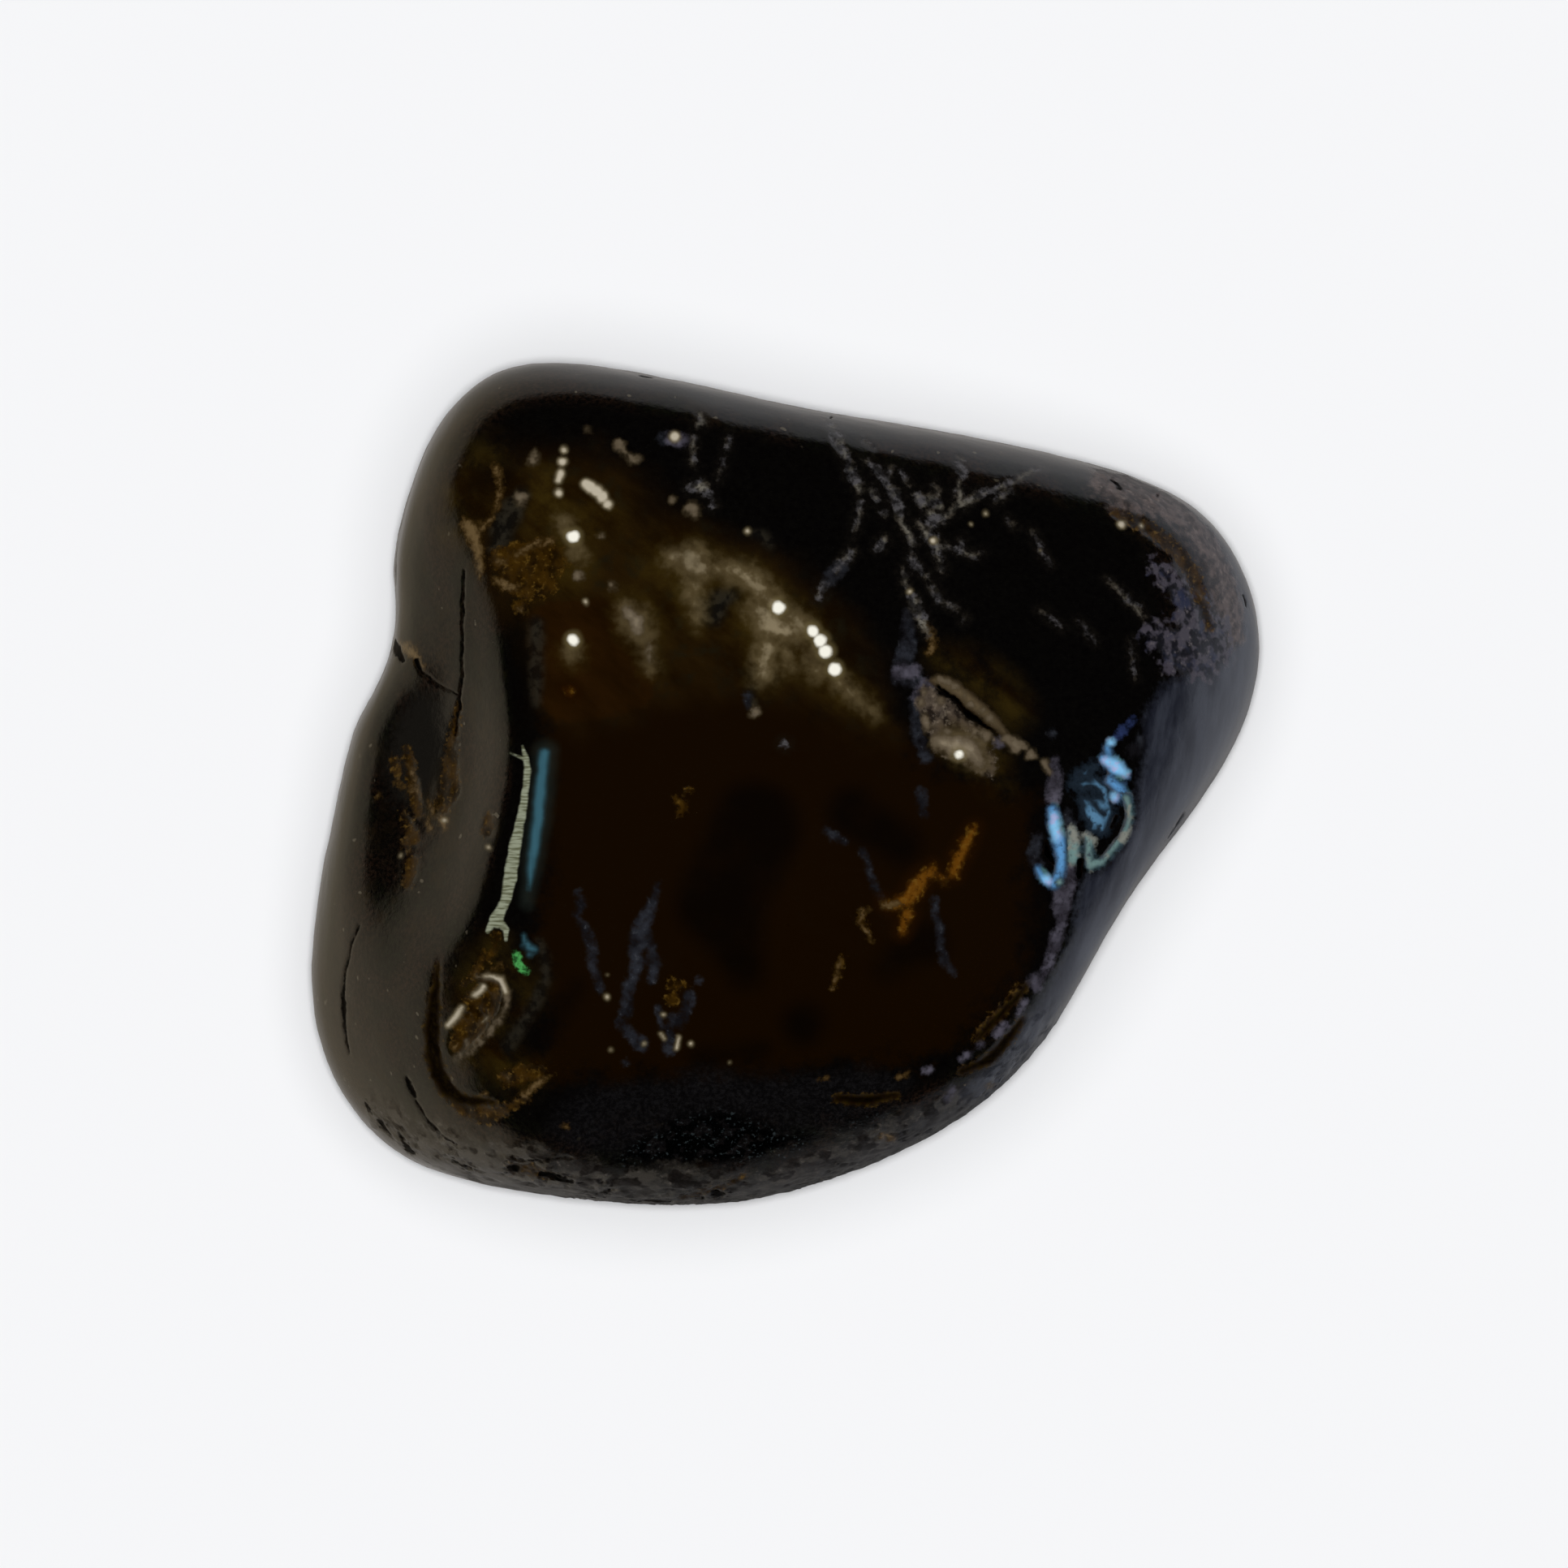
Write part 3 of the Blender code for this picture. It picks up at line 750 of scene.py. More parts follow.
HAZE_OUTLINE = (
    (-6.65, -9.45), (-5.1, -8.3), (-1.95, -8), (0.75, -8), (3.45, -8.1), (2.55, -9.2), (0.3, -9.75),
    (-1.5, -10.45), (-3.75, -10.55), (-5.55, -10.1),
)

# ------------------------------------------------------------------ how the marks are laid
LOWEST_MARK = -4.0          # marks seen from above reach no lower than this on the sides
MARK_REACH = 1.0            # how far outside its edge a mark's depth is still measured
HONEY_REACH = 2.0
AREA_FOOT = 1.5             # height above the core where areas start to thin out downwards
AREA_FADE = 0.35
UPRIGHT = 0.08              # skin that faces up less than this counts as an upright side
WANDER_SIZE = 0.4           # the marks' edges stray in curves of this size
WANDER_REACH = 0.035
WANDER_SEED = 7             # any number but 0, which takes the seed from the clock
MARKS = {
    "cloud": CLOUD,
    "tan": TAN,
    "cream": CREAM,
    "veil": VEIL,
    "dusk": DUSK,
    "mauve": MAUVE,
    "ochre": OCHRE,
    "copper": COPPER,
    "blue": BLUE_SHEEN,
    "crown": CROWN_HIGHLIGHTS,
    "aqua": AQUA,
    "slate": SLATE,
    "smoke": SMOKE,
    "violet": VIOLET,
    "teal": TEAL_REFLECTION,
    "teal_glow": TEAL_REFLECTION_GLOW,
    "shade": SHADE,
    "green": GREEN_FLASH,
    "streak": HIGHLIGHT_STREAK,
    "crack": CRACKS,
    "grain": GRAINS,
    "glint": GLINTS,
    "bead": BEADS_AND_HIGHLIGHTS,
    "groove": {"groove": OCHRE["groove"], "rust": OCHRE["front_rust"]},
    "bowl": {"bowl": OCHRE["pit_bowl"]},
    "rim": {"rim": CREAM["pit_rim"]},
}
AREAS = {
    "table": TABLE_OUTLINE,
    "amber": AMBER_OUTLINE,
    "film": FILM_AND_SHEEN_OUTLINE,
    "pink_crust": PINK_CRUST,
    "grey_crust": GREY_CRUST,
    "haze": HAZE_OUTLINE,
    "front_crust": FRONT_CRUST,
    "step": STEP_OUTLINE,
    "dome": DOME_OUTLINE,
    "ridge": RIDGE_OUTLINE,
    "rock": ROCK_OUTLINE,
    "dish_haze": DISH_HAZE,
}
# The skin has a finer mesh along these, and this far outside them.
FINE_MARGIN = 0.15
FINEST_MARGIN = 0.06
FINEST_MARKS = (HIGHLIGHT_STREAK, CRACKS, GLINTS, BEADS_AND_HIGHLIGHTS)
FINE_MARKS = FINEST_MARKS + (
    CREAM, TAN, VEIL, DUSK, MAUVE, OCHRE, COPPER, BLUE_SHEEN, AQUA, GREEN_FLASH, TEAL_REFLECTION,
)

# ------------------------------------------------------------------ relief and gloss
# Uneven ground: the size of its lumps in mm, and a shift, so that no two kinds match.
GROUNDS = {
    "rough": (0.35, 0.0),
    "gravel": (0.16, 40.0),
    "waves": (3.2, 80.0),
    "pits": (0.75, 120.0),
    "side_waves": (1.1, 160.0),
}
SKIN_WAVE = 0.03
SIDE_WAVE = 0.02
PIT_DEPTH = 0.05
PIT_LEVELS = (0.42, 0.75)   # pits start and are full where their ground is this uneven
# Relief of the marks in mm: name, depths inside the edge where it starts and where it is
# full, its share of rough ground, its share of gravel, and how far it stands out.
RELIEF = (
    ("crack", -0.06, 0.06, 0.0, -0.009, -0.03),
    ("ochre", -0.06, 0.12, 0.05, 0.02, -0.03),
    ("rock", -0.06, 0.10, 0.07, 0.03, 0.0),
    ("ridge", -0.04, 0.10, 0.03, 0.0, 0.04),
    ("veil", -0.04, 0.06, 0.02, 0.0, -0.015),
    ("groove", -0.15, 0.20, 0.0, 0.0, -0.01),
    ("step", -0.50, 0.50, 0.0, 0.0, -0.03),
    ("bowl", -0.10, 0.35, 0.05, 0.0, -0.20),
    ("rim", -0.06, 0.08, 0.0, 0.0, 0.02),
)
# Duller marks: name, raggedness and softness of the edge in mm, and roughness.
MATT_MARKS = (
    ("film", 0.5, 0.3, 0.22),
    ("pink_crust", 0.7, 0.12, 0.4),
    ("grey_crust", 0.7, 0.12, 0.42),
    ("front_crust", 1.2, 0.25, 0.26),
    ("ochre", 0.35, 0.06, 0.6),
    ("groove", 0.2, 0.1, 0.8),
    ("bowl", 0.2, 0.1, 0.6),
    ("cream", 0.3, 0.1, 0.25),
    ("veil", 0.22, 0.07, 0.3),
    ("blue", 0.2, 0.05, 0.4),
    ("aqua", 0.2, 0.05, 0.4),
    ("crack", 0.1, 0.03, 0.7),
)
WORN_SIDE_ROUGHNESS = 0.34
PIT_ROUGHNESS = 0.6
SHADE_OF_CLEFTS = 0.94      # a dark metal mirrors little, as a deep cleft does
SKIN_GRAIN = (0.012, 0.022)     # bump of the skin on top and on the flanks

# ------------------------------------------------------------------ studio
TABLE_COLOUR = (0.88, 0.885, 0.9, 1)
TABLE_RADIUS = 1.2          # m
LIGHT_HEIGHT = 1.5          # m
LIGHTS = (("small", 0.08, 14.8), ("wide", 0.67, 8.9))   # name, width in metres, watts
# What the polished skin mirrors: height, as the sine of the angle above level, and
# brightness. The left side of the room is warm and the right side is cool.
SURROUNDINGS = (
    (-1.0, 0.26), (-0.6, 0.36), (-0.3, 0.30), (-0.04, 0.25), (0.05, 0.11), (0.12, 0.005),
)
WARM_LEFT = (1.0, 0.85, 0.62, 1)
COOL_RIGHT = (1.12, 1.17, 1.32, 1)
TINT_REACH = 0.6            # how far to each side the tint is full, as a sine
DARK_SIDE = (0.34, -0.94, 0.0)
DARK_EDGE = (0.74, 0.94)    # cosines of the angles from it where the dark starts and is full
DARK_SHARE = 0.4
LENS = 1500.0               # mm
SENSOR = 36.0               # mm
FRAME_WIDTH = 43.25         # mm across the picture at half the stone's height


# ------------------------------------------------------------------ shaping
def face_normal(heading, tilt):
    around = math.radians(heading)
    up = math.radians(tilt)
    level = math.cos(up)
    return np.array([math.cos(around) * level, math.sin(around) * level, math.sin(up)])


def beyond_face(points, face):
    heading, tilt, distance = face
    return points @ face_normal(heading, tilt) - distance


def inside_dent(points, dent):
    start, end, radius = dent
    start = np.array(start)
    run = np.array(end) - start
    along = np.clip((points - start) @ run / (run @ run), 0.0, 1.0)
    nearest = start + along[:, None] * run
    return radius - np.linalg.norm(points - nearest, axis=1)


def soft_maximum(levels, blend):
    levels = np.array(levels) / blend
    highest = levels.max(axis=0)
    return blend * (highest + np.log(np.exp(levels - highest).sum(axis=0)))


def stone_level(points):
    """Below zero inside the stone, above zero outside it."""
    faces = {**SIDE_FACES, **UPPER_FACES, **UNDER_FACES}
    body = soft_maximum([beyond_face(points, face) for face in faces.values()], EDGE_BLEND)
    dents = [inside_dent(points, dent) for dent in DENTS.values()]
    return soft_maximum([body] + dents, DENT_BLEND)


def surface_along(directions):
    inside = np.full(len(directions), CLOSEST)
    outside = np.full(len(directions), FARTHEST)
    for _ in range(HALVINGS):
        middle = (inside + outside) / 2
        is_inside = stone_level(directions * middle[:, None]) < 0
        inside = np.where(is_inside, middle, inside)
        outside = np.where(is_inside, outside, middle)
    return directions * inside[:, None]


def ease(level, low, high):
    """A smooth step from 0 at low to 1 at high."""
    step = np.clip((level - low) / (high - low), 0.0, 1.0)
    return step * step * (3 - 2 * step)


def inside_stroke(places, start, end):
    """How far in from the edge of a tapered stroke each place is, in mm."""
    start = np.array(start)
    end = np.array(end)
    run = end[:2] - start[:2]
    along = np.clip((places - start[:2]) @ run / max(run @ run, 1e-9), 0.0, 1.0)
    middle = start[:2] + along[:, None] * run
    half_width = start[2] + along * (end[2] - start[2])
    return half_width - np.linalg.norm(places - middle, axis=1)


def inside_marks(points, marks, reach):
    """The depth inside the nearest of the marks, negative outside, down to -reach."""
    depth = np.full(len(points), -reach)
    facing = np.flatnonzero(points[:, 2] > LOWEST_MARK)
    for strokes in marks.values():
        for stroke in strokes:
            ends = stroke if len(stroke) > 1 else stroke * 2
            for start, end in zip(ends, ends[1:]):
                margin = max(start[2], end[2]) + reach
                low = np.minimum(start[:2], end[:2]) - margin
                high = np.maximum(start[:2], end[:2]) + margin
                places = points[facing, :2]
                near = facing[((places > low) & (places < high)).all(axis=1)]
                here = inside_stroke(points[near, :2], start, end)
                depth[near] = np.maximum(depth[near], here)
    return depth


def inside_outline(points, outline):
    """The depth inside a closed outline, negative outside it."""
    places = points[:, :2]
    nearest = np.full(len(places), np.inf)
    crossings = np.zeros(len(places), dtype=int)
    for start, end in zip(outline, outline[1:] + outline[:1]):
        gap = -inside_stroke(places, (*start, 0.0), (*end, 0.0))
        nearest = np.minimum(nearest, gap)
        (x0, y0), (x1, y1) = start, end
        if y0 != y1:
            spans = (y0 > places[:, 1]) != (y1 > places[:, 1])
            edge = x0 + (places[:, 1] - y0) / (y1 - y0) * (x1 - x0)
            crossings += spans & (places[:, 0] < edge)
    return np.where(crossings % 2 == 1, nearest, -nearest)


def wander(points, size, reach):
    """Small shifts in every direction, so that no mark has a ruled edge."""
    noise.seed_set(WANDER_SEED)
    shifts = [noise.turbulence_vector(Vector(point) / size, 3, False) for point in points]
    return np.array([shift[:] for shift in shifts]) * reach


def ground(points, kind):
    """Uneven ground, between -1 and 1."""
    size, elsewhere = GROUNDS[kind]
    places = points + elsewhere
    return np.array([noise.fractal(Vector(place) / size, 0.8, 2.2, 4) for place in places])


def ball_places(ball):
    return np.array([vert.co[:] for vert in ball.verts])


def put_on_stone(ball):
    places = ball_places(ball)
    directions = places / np.linalg.norm(places, axis=1)[:, None]
    for vert, place in zip(ball.verts, surface_along(directions)):
        vert.co = place


def refine_near(ball, marks, margin):
    """Halves the triangles that a mark crosses."""
    depth = np.full(len(ball.verts), -margin)
    places = ball_places(ball)
    for group in marks:
        depth = np.maximum(depth, inside_marks(places, group, margin))
    near = depth > -margin
    crossed = {face.index for face in ball.faces if any(near[vert.index] for vert in face.verts)}
    edges = [edge for edge in ball.edges if any(face.index in crossed for face in edge.link_faces)]
    bmesh.ops.subdivide_edges(ball, edges=edges, cuts=1, use_grid_fill=True)
    bmesh.ops.triangulate(ball, faces=[face for face in ball.faces if len(face.verts) > 3])
    ball.verts.index_update()
    ball.faces.index_update()
    put_on_stone(ball)


def shift_into_frame(points):
    """From the core to the CAD frame: the same middle, and the same highest point."""
    low, high = np.array(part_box(STONE)) / MM
    middle = (points.min(axis=0) + points.max(axis=0)) / 2
    shift = (low + high) / 2 - middle
    shift[2] = high[2] - points[:, 2].max()
    return shift, low[2]


def mark_depths(points, side):
    """How deep each point is inside every mark and area, in mm."""
    astray = points + wander(points, WANDER_SIZE, WANDER_REACH)
    depth = {}
    for name, marks in MARKS.items():
        inside = inside_marks(astray, marks, MARK_REACH)
        depth[name] = np.maximum(inside - side, -MARK_REACH)
    sunk = AREA_FADE * np.maximum(AREA_FOOT - points[:, 2], 0.0)
    for name, outline in AREAS.items():
        depth[name] = inside_outline(astray, outline) - sunk
    depth["honey"] = inside_marks(astray, HONEY, HONEY_REACH)
    return depth


def relief(points, depth, side, pits):
    """How far each point of the polished skin stands out, in mm."""
    rough = ground(points, "rough")
    gravel = ground(points, "gravel")
    height = SKIN_WAVE * ground(points, "waves")
    for name, start, full, of_rough, of_gravel, level in RELIEF:
        height += ease(depth[name], start, full) * (of_rough * rough + of_gravel * gravel + level)
    curl = np.maximum(depth["blue"], depth["aqua"])
    height += ease(curl, -0.04, 0.10) * (0.07 * rough - 0.08)
    crust = np.maximum(depth["pink_crust"], depth["grey_crust"]) + 0.3 * rough
    height += ease(crust, -0.1, 0.15) * (0.045 * rough + 0.025 * gravel)
    front = ease(depth["front_crust"] + 0.5 * rough, -0.1, 0.3)
    height += front * (0.04 * rough - 0.06 * ease(gravel, 0.35, 0.6))
    height += side * SIDE_WAVE * ground(points, "side_waves") - PIT_DEPTH * pits
    return height


def store(mesh, name, values):
    layer = mesh.attributes.new(name, "FLOAT", "POINT")
    layer.data.foreach_set("value", np.asarray(values, dtype=np.float32))


def stone_ball():
    """A fine ball drawn onto the stone's skin, finer still along the small marks."""
    ball = bmesh.new()
    bmesh.ops.create_icosphere(ball, subdivisions=BALL_SUBDIVISIONS, radius=1.0)
    put_on_stone(ball)
    refine_near(ball, FINE_MARKS, FINE_MARGIN)
    refine_near(ball, FINEST_MARKS, FINEST_MARGIN)
    ball.normal_update()
    return ball


def stone_surface():
    ball = stone_ball()
    points = ball_places(ball)
    normals = np.array([vert.normal[:] for vert in ball.verts])
    lean = 1 - normals[:, 2]
    side = 1 - ease(normals[:, 2], 0.0, UPRIGHT)
    pits = side * ease(ground(points, "pits"), *PIT_LEVELS)
    depth = mark_depths(points, side)
    shift, floor_level = shift_into_frame(points)
    points = points + normals * relief(points, depth, side, pits)[:, None] + shift
    points[:, 2] = np.maximum(points[:, 2], floor_level)
    for vert, point in zip(ball.verts, points):
        vert.co = Vector(point) * MM
    mesh = bpy.data.meshes.new("garnet_surface")
    ball.to_mesh(mesh)
    ball.free()
    for name, values in {"lean": lean, "side": side, "pits": pits, **depth}.items():
        store(mesh, name, values)
    mesh.shade_smooth()
    obj = bpy.data.objects.new("garnet_surface", mesh)
    bpy.context.scene.collection.objects.link(obj)
    return obj, shift


# ------------------------------------------------------------------ node building
def tone(red, green, blue):
    """A linear colour from one given as screen values, 0 to 255."""
    linear = []
    for value in (red, green, blue):
        share = value / 255
        linear.append(share / 12.92 if share < 0.04 else ((share + 0.055) / 1.055) ** 2.4)
    return (*linear, 1.0)


class Nodes:
    """Builds a node tree in short steps; a step takes numbers or other steps."""

    def __init__(self, tree):
        self.tree = tree

    def add(self, kind, values, **settings):
        node = self.tree.nodes.new(kind)
        for name, setting in settings.items():
            setattr(node, name, setting)
        for socket, value in values.items():
            self.give(node.inputs[socket], value)
        return node

    def give(self, socket, value):
        if isinstance(value, bpy.types.NodeSocket):
            self.tree.links.new(value, socket)
        else:
            socket.default_value = value

    def maths(self, operation, first, second=0.0):
        return self.add("ShaderNodeMath", {0: first, 1: second}, operation=operation).outputs[0]

    def times(self, first, second):
        return self.maths("MULTIPLY", first, second)

    def step(self, level, low, high, start=0.0, end=1.0, way="SMOOTHSTEP"):
        values = {"Value": level, "From Min": low, "From Max": high, "To Min": start, "To Max": end}
        return self.add("ShaderNodeMapRange", values, interpolation_type=way).outputs["Result"]

    def mix(self, mask, under, over, way="MIX"):
        values = {0: mask, 6: under, 7: over}
        node = self.add("ShaderNodeMix", values, data_type="RGBA", blend_type=way)
        return node.outputs[2]

    def mottle(self, noise, low, high, under, over, most=1.0):
        """One tone that gives way to another where the noise is high."""
        return self.mix(self.step(noise, low, high, 0.0, most), under, over)

    def blend(self, mask, under, over):
        values = {0: mask, 2: under, 3: over}
        return self.add("ShaderNodeMix", values, data_type="FLOAT").outputs[0]

    def vector(self, operation, first, second=(0, 0, 0)):
        return self.add("ShaderNodeVectorMath", {0: first, 1: second}, operation=operation)


class Finish(Nodes):
    """A material, on coordinates that stay with the piece."""

    def __init__(self, name):
        self.material = bpy.data.materials.new(name)
        self.material.use_nodes = True
        super().__init__(self.material.node_tree)
        self.shader = self.tree.nodes["Principled BSDF"]
        self.place = self.add("ShaderNodeTexCoord", {}).outputs["Object"]

    def mark(self, name):
        return self.add("ShaderNodeAttribute", {}, attribute_name=name).outputs["Fac"]

    def cloud(self, size, detail=3.0, roughness=0.55, shift=(0, 0, 0), stretch=(1, 1, 1), turn=0):
        """Soft noise whose patches are about size mm across."""
        scale = [factor / (size * MM) for factor in stretch]
        turned = {"Vector": self.place, "Rotation": (0, 0, math.radians(-turn))}
        place = self.add("ShaderNodeMapping", turned).outputs[0]
        laid = {"Vector": place, "Location": shift, "Scale": scale}
        place = self.add("ShaderNodeMapping", laid).outputs[0]
        values = {"Vector": place, "Scale": 1.0, "Detail": detail, "Roughness": roughness}
        return self.add("ShaderNodeTexNoise", values).outputs["Fac"]


class StoneFinish(Finish):
    """A finish with the noise that the stone's colour, gloss and marks share."""

    def __init__(self, name):
        super().__init__(name)
        self.grit = self.cloud(0.11, 3.0, 0.6, shift=(7.3, 1.1, 4.2))
        self.fine = self.cloud(0.16, 4.0, 0.6)
        self.soft = self.cloud(0.3, 2.0, 0.5, shift=(9.1, 3.3, 0.7))
        self.specks = self.cloud(0.32, 1.0, 0.4, shift=(2.2, 8.1, 5.5))
        self.slow = self.cloud(0.5, 2.0, 0.5, shift=(4.4, 2.3, 6.1))
        self.patches = self.cloud(0.9, 4.0, 0.7, shift=(1.7, 5.2, 0.4))
        self.broad = self.cloud(1.6, 3.0, 0.5, shift=(3.1, 0.7, 0.2))
        self.drawn = self.cloud(0.8, 4.0, 0.6, stretch=(1.5, 0.3, 1.0), turn=-14)
        self.rays = self.cloud(1.0, 4.0, 0.55, stretch=(0.5, 1.1, 1.0), turn=-38)
        self.ribs = self.cloud(0.1, 2.0, 0.5, stretch=(0.2, 1.6, 0.2))

    def worn(self, name, ragged, soft, inset=0.0, by=None):
        """A mark's mask, with an edge as ragged and as soft as these many mm."""
        wobble = self.times(self.maths("SUBTRACT", by or self.fine, 0.5), ragged)
        level = self.maths("ADD", self.mark(name), wobble)
        return self.step(level, inset - soft, inset + soft)

    def uneven(self, name, noise, reach):
        """A mark's depth, lifted and lowered by the noise."""
        return self.maths("ADD", self.mark(name), self.step(noise, 0.3, 0.7, -reach, reach))

    def leaning(self, start=0.0, end=1.0):
        """Rises where the skin leans over towards the sides."""
        return self.step(self.mark("lean"), 0.15, 0.3, start, end)


# ------------------------------------------------------------------ colour of the stone
# Each function lays one more thing over the colour so far, from the skin upwards.
def bare_skin(finish):
    return finish.mottle(finish.fine, 0.2, 0.8, tone(2, 1, 1), tone(6, 5, 4))


def flank_grain(finish, colour):
    grain = finish.mottle(finish.broad, 0.4, 0.6, tone(15, 17, 8), tone(33, 22, 15))
    mask = finish.times(finish.leaning(), finish.step(finish.grit, 0.35, 0.7))
    return finish.mix(mask, colour, grain)


def flank_stains(finish, colour):
    mask = finish.times(finish.leaning(), finish.step(finish.patches, 0.52, 0.66))
    return finish.mix(finish.times(mask, 0.7), colour, tone(24, 17, 6))


def worn_sides(finish, colour):
    side = finish.mark("side")
    scuffs = finish.times(side, finish.step(finish.drawn, 0.5, 0.75, 0.0, 0.8))
    colour = finish.mix(scuffs, colour, tone(32, 27, 23))
    crust = finish.times(side, finish.step(finish.patches, 0.58, 0.66, 0.0, 0.8))
    colour = finish.mix(crust, colour, tone(52, 34, 18))
    pits = finish.uneven("pits", finish.fine, 0.15)
    return finish.mix(finish.step(pits, 0.25, 0.5), colour, tone(12, 6, 3))


def pale_specks(finish, colour):
    mask = finish.times(finish.leaning(), finish.step(finish.specks, 0.74, 0.78))
    return finish.mix(mask, colour, tone(74, 68, 56))


def brown_table(finish, colour):
    mask = finish.worn("table", 2.4, 0.5, by=finish.patches)
    return finish.mix(mask, colour, tone(17, 7, 0))


def front_haze(finish, colour):
    haze = finish.mottle(finish.grit, 0.4, 0.65, tone(9, 8, 9), tone(20, 19, 20))
    mask = finish.worn("haze", 1.2, 0.45, by=finish.broad)
    mask = finish.times(mask, finish.step(finish.fine, 0.3, 0.7, 0.5, 1.0))
    return finish.mix(mask, colour, haze)


def sparkling_hollow(finish, colour):
    grain = finish.mark("grain")
    hollow = finish.times(finish.step(grain, -0.35, 0.2), finish.step(finish.soft, 0.4, 0.5))
    colour = finish.mix(hollow, colour, tone(1, 1, 1))
    sparkle = finish.times(finish.step(grain, -0.2, 0.1), finish.step(finish.grit, 0.6, 0.66))
    return finish.mix(sparkle, colour, tone(38, 44, 46))


def dish_haze(finish, colour):
    return finish.mix(finish.worn("dish_haze", 1.0, 0.4), colour, tone(22, 20, 17))


def amber_corner(finish, colour):
    amber = finish.mottle(finish.rays, 0.3, 0.7, tone(19, 9, 0), tone(33, 21, 4))
    amber = finish.mottle(finish.slow, 0.5, 0.8, amber, tone(24, 19, 8))
    return finish.mix(finish.worn("amber", 1.6, 0.9, by=finish.broad), colour, amber)


def honey_glow(finish, colour):
    honey = finish.mottle(finish.rays, 0.35, 0.65, tone(28, 15, 0), tone(52, 40, 10))
    mask = finish.step(finish.mark("honey"), -0.6, 0.9)
    mask = finish.times(mask, finish.step(finish.patches, 0.35, 0.6, 0.25))
    return finish.mix(finish.times(mask, 0.85), colour, honey)


def brown_dome(finish, colour):
    dome = finish.mottle(finish.rays, 0.3, 0.7, tone(22, 10, 0), tone(34, 18, 2))
    return finish.mix(finish.worn("dome", 0.3, 0.12, by=finish.soft), colour, dome)


def deep_shade(finish, colour):
    shade = finish.step(finish.mark("shade"), -0.3, 0.5, 0.0, 0.8)
    mask = finish.times(shade, finish.step(finish.broad, 0.2, 0.6, 0.5, 1.0))
    return finish.mix(mask, colour, tone(4, 2, 1))


def grey_smoke(finish, colour):
    smoke = finish.mottle(finish.soft, 0.4, 0.6, tone(13, 12, 10), tone(36, 33, 26))
    return finish.mix(finish.step(finish.mark("smoke"), -0.2, 0.15, 0.0, 0.85), colour, smoke)


def front_crust(finish, colour):
    crust = finish.mottle(finish.patches, 0.42, 0.62, tone(10, 8, 6), tone(54, 50, 44))
    crust = finish.mottle(finish.fine, 0.55, 0.7, crust, tone(76, 70, 64))
    crust = finish.mottle(finish.slow, 0.5, 0.6, crust, tone(18, 9, 4))
    mask = finish.worn("front_crust", 1.6, 0.3, by=finish.patches)
    return finish.mix(finish.times(mask, 0.8), colour, crust)


# Rough film on the right rim, with a painted reflection of cool light as its blue-grey tint.
def blue_film_and_sheen(finish, colour):
    film = finish.mottle(finish.drawn, 0.35, 0.65, tone(26, 28, 37), tone(50, 53, 62))
    return finish.mix(finish.worn("film", 0.5, 0.22), colour, film)


def pink_crust(finish, colour):
    crust = finish.mottle(finish.soft, 0.35, 0.65, tone(44, 34, 28), tone(84, 71, 66))
    crust = finish.mottle(finish.fine, 0.5, 0.75, crust, tone(110, 96, 90))
    crust = finish.mottle(finish.grit, 0.62, 0.7, crust, tone(24, 14, 8), most=0.7)
    return finish.mix(finish.worn("pink_crust", 0.7, 0.25, by=finish.soft), colour, crust)


def grey_crust(finish, colour):
    crust = finish.mottle(finish.soft, 0.42, 0.58, tone(14, 13, 19), tone(64, 60, 68))
    crust = finish.mottle(finish.slow, 0.5, 0.7, crust, tone(34, 38, 58))
    crust = finish.mottle(finish.fine, 0.55, 0.75, crust, tone(92, 86, 88))
    return finish.mix(finish.worn("grey_crust", 1.1, 0.14, by=finish.soft), colour, crust)


def ochre_rock(finish, colour):
    rock = finish.mottle(finish.slow, 0.35, 0.62, tone(22, 11, 0), tone(50, 32, 3))
    rock = finish.mottle(finish.fine, 0.52, 0.72, rock, tone(82, 60, 19))
    rock = finish.mottle(finish.grit, 0.6, 0.7, rock, tone(14, 6, 0), most=0.8)
    return finish.mix(finish.worn("ochre", 0.5, 0.08), colour, rock)


def rusty_groove(finish, colour):
    rust = finish.mottle(finish.fine, 0.4, 0.7, tone(36, 19, 0), tone(66, 50, 6))
    return finish.mix(finish.worn("groove", 0.2, 0.1), colour, rust)


def slate_line(finish, colour):
    slate = finish.mottle(finish.mark("slate"), 0.1, 0.22, tone(28, 38, 48), tone(84, 126, 158))
    slate = finish.mottle(finish.fine, 0.5, 0.7, slate, tone(22, 28, 36), most=0.8)
    return finish.mix(finish.worn("slate", 0.5, 0.15), colour, slate)


def dusky_threads(finish, colour):
    broken = finish.step(finish.fine, 0.25, 0.6, 0.4, 1.0)
    dusk = finish.mottle(finish.slow, 0.35, 0.7, tone(17, 16, 19), tone(38, 40, 46))
    dusk = finish.mottle(finish.fine, 0.6, 0.75, dusk, tone(56, 58, 62), most=0.7)
    colour = finish.mix(finish.times(finish.worn("dusk", 0.22, 0.1), broken), colour, dusk)
    mauve = finish.mottle(finish.slow, 0.35, 0.7, tone(46, 43, 50), tone(82, 79, 90))
    return finish.mix(finish.times(finish.worn("mauve", 0.25, 0.1), broken), colour, mauve)


def broken_rock(finish, colour):
    rock = finish.mottle(finish.soft, 0.35, 0.65, tone(30, 24, 20), tone(78, 68, 58))
    rock = finish.mottle(finish.fine, 0.5, 0.75, rock, tone(104, 93, 80))
    return finish.mix(finish.worn("rock", 0.3, 0.08), colour, rock)


def pale_ridge(finish, colour):
    ridge = finish.mottle(finish.mark("ridge"), 0.0, 0.22, tone(48, 38, 24), tone(92, 79, 58))
    return finish.mix(finish.worn("ridge", 0.2, 0.06), colour, ridge)


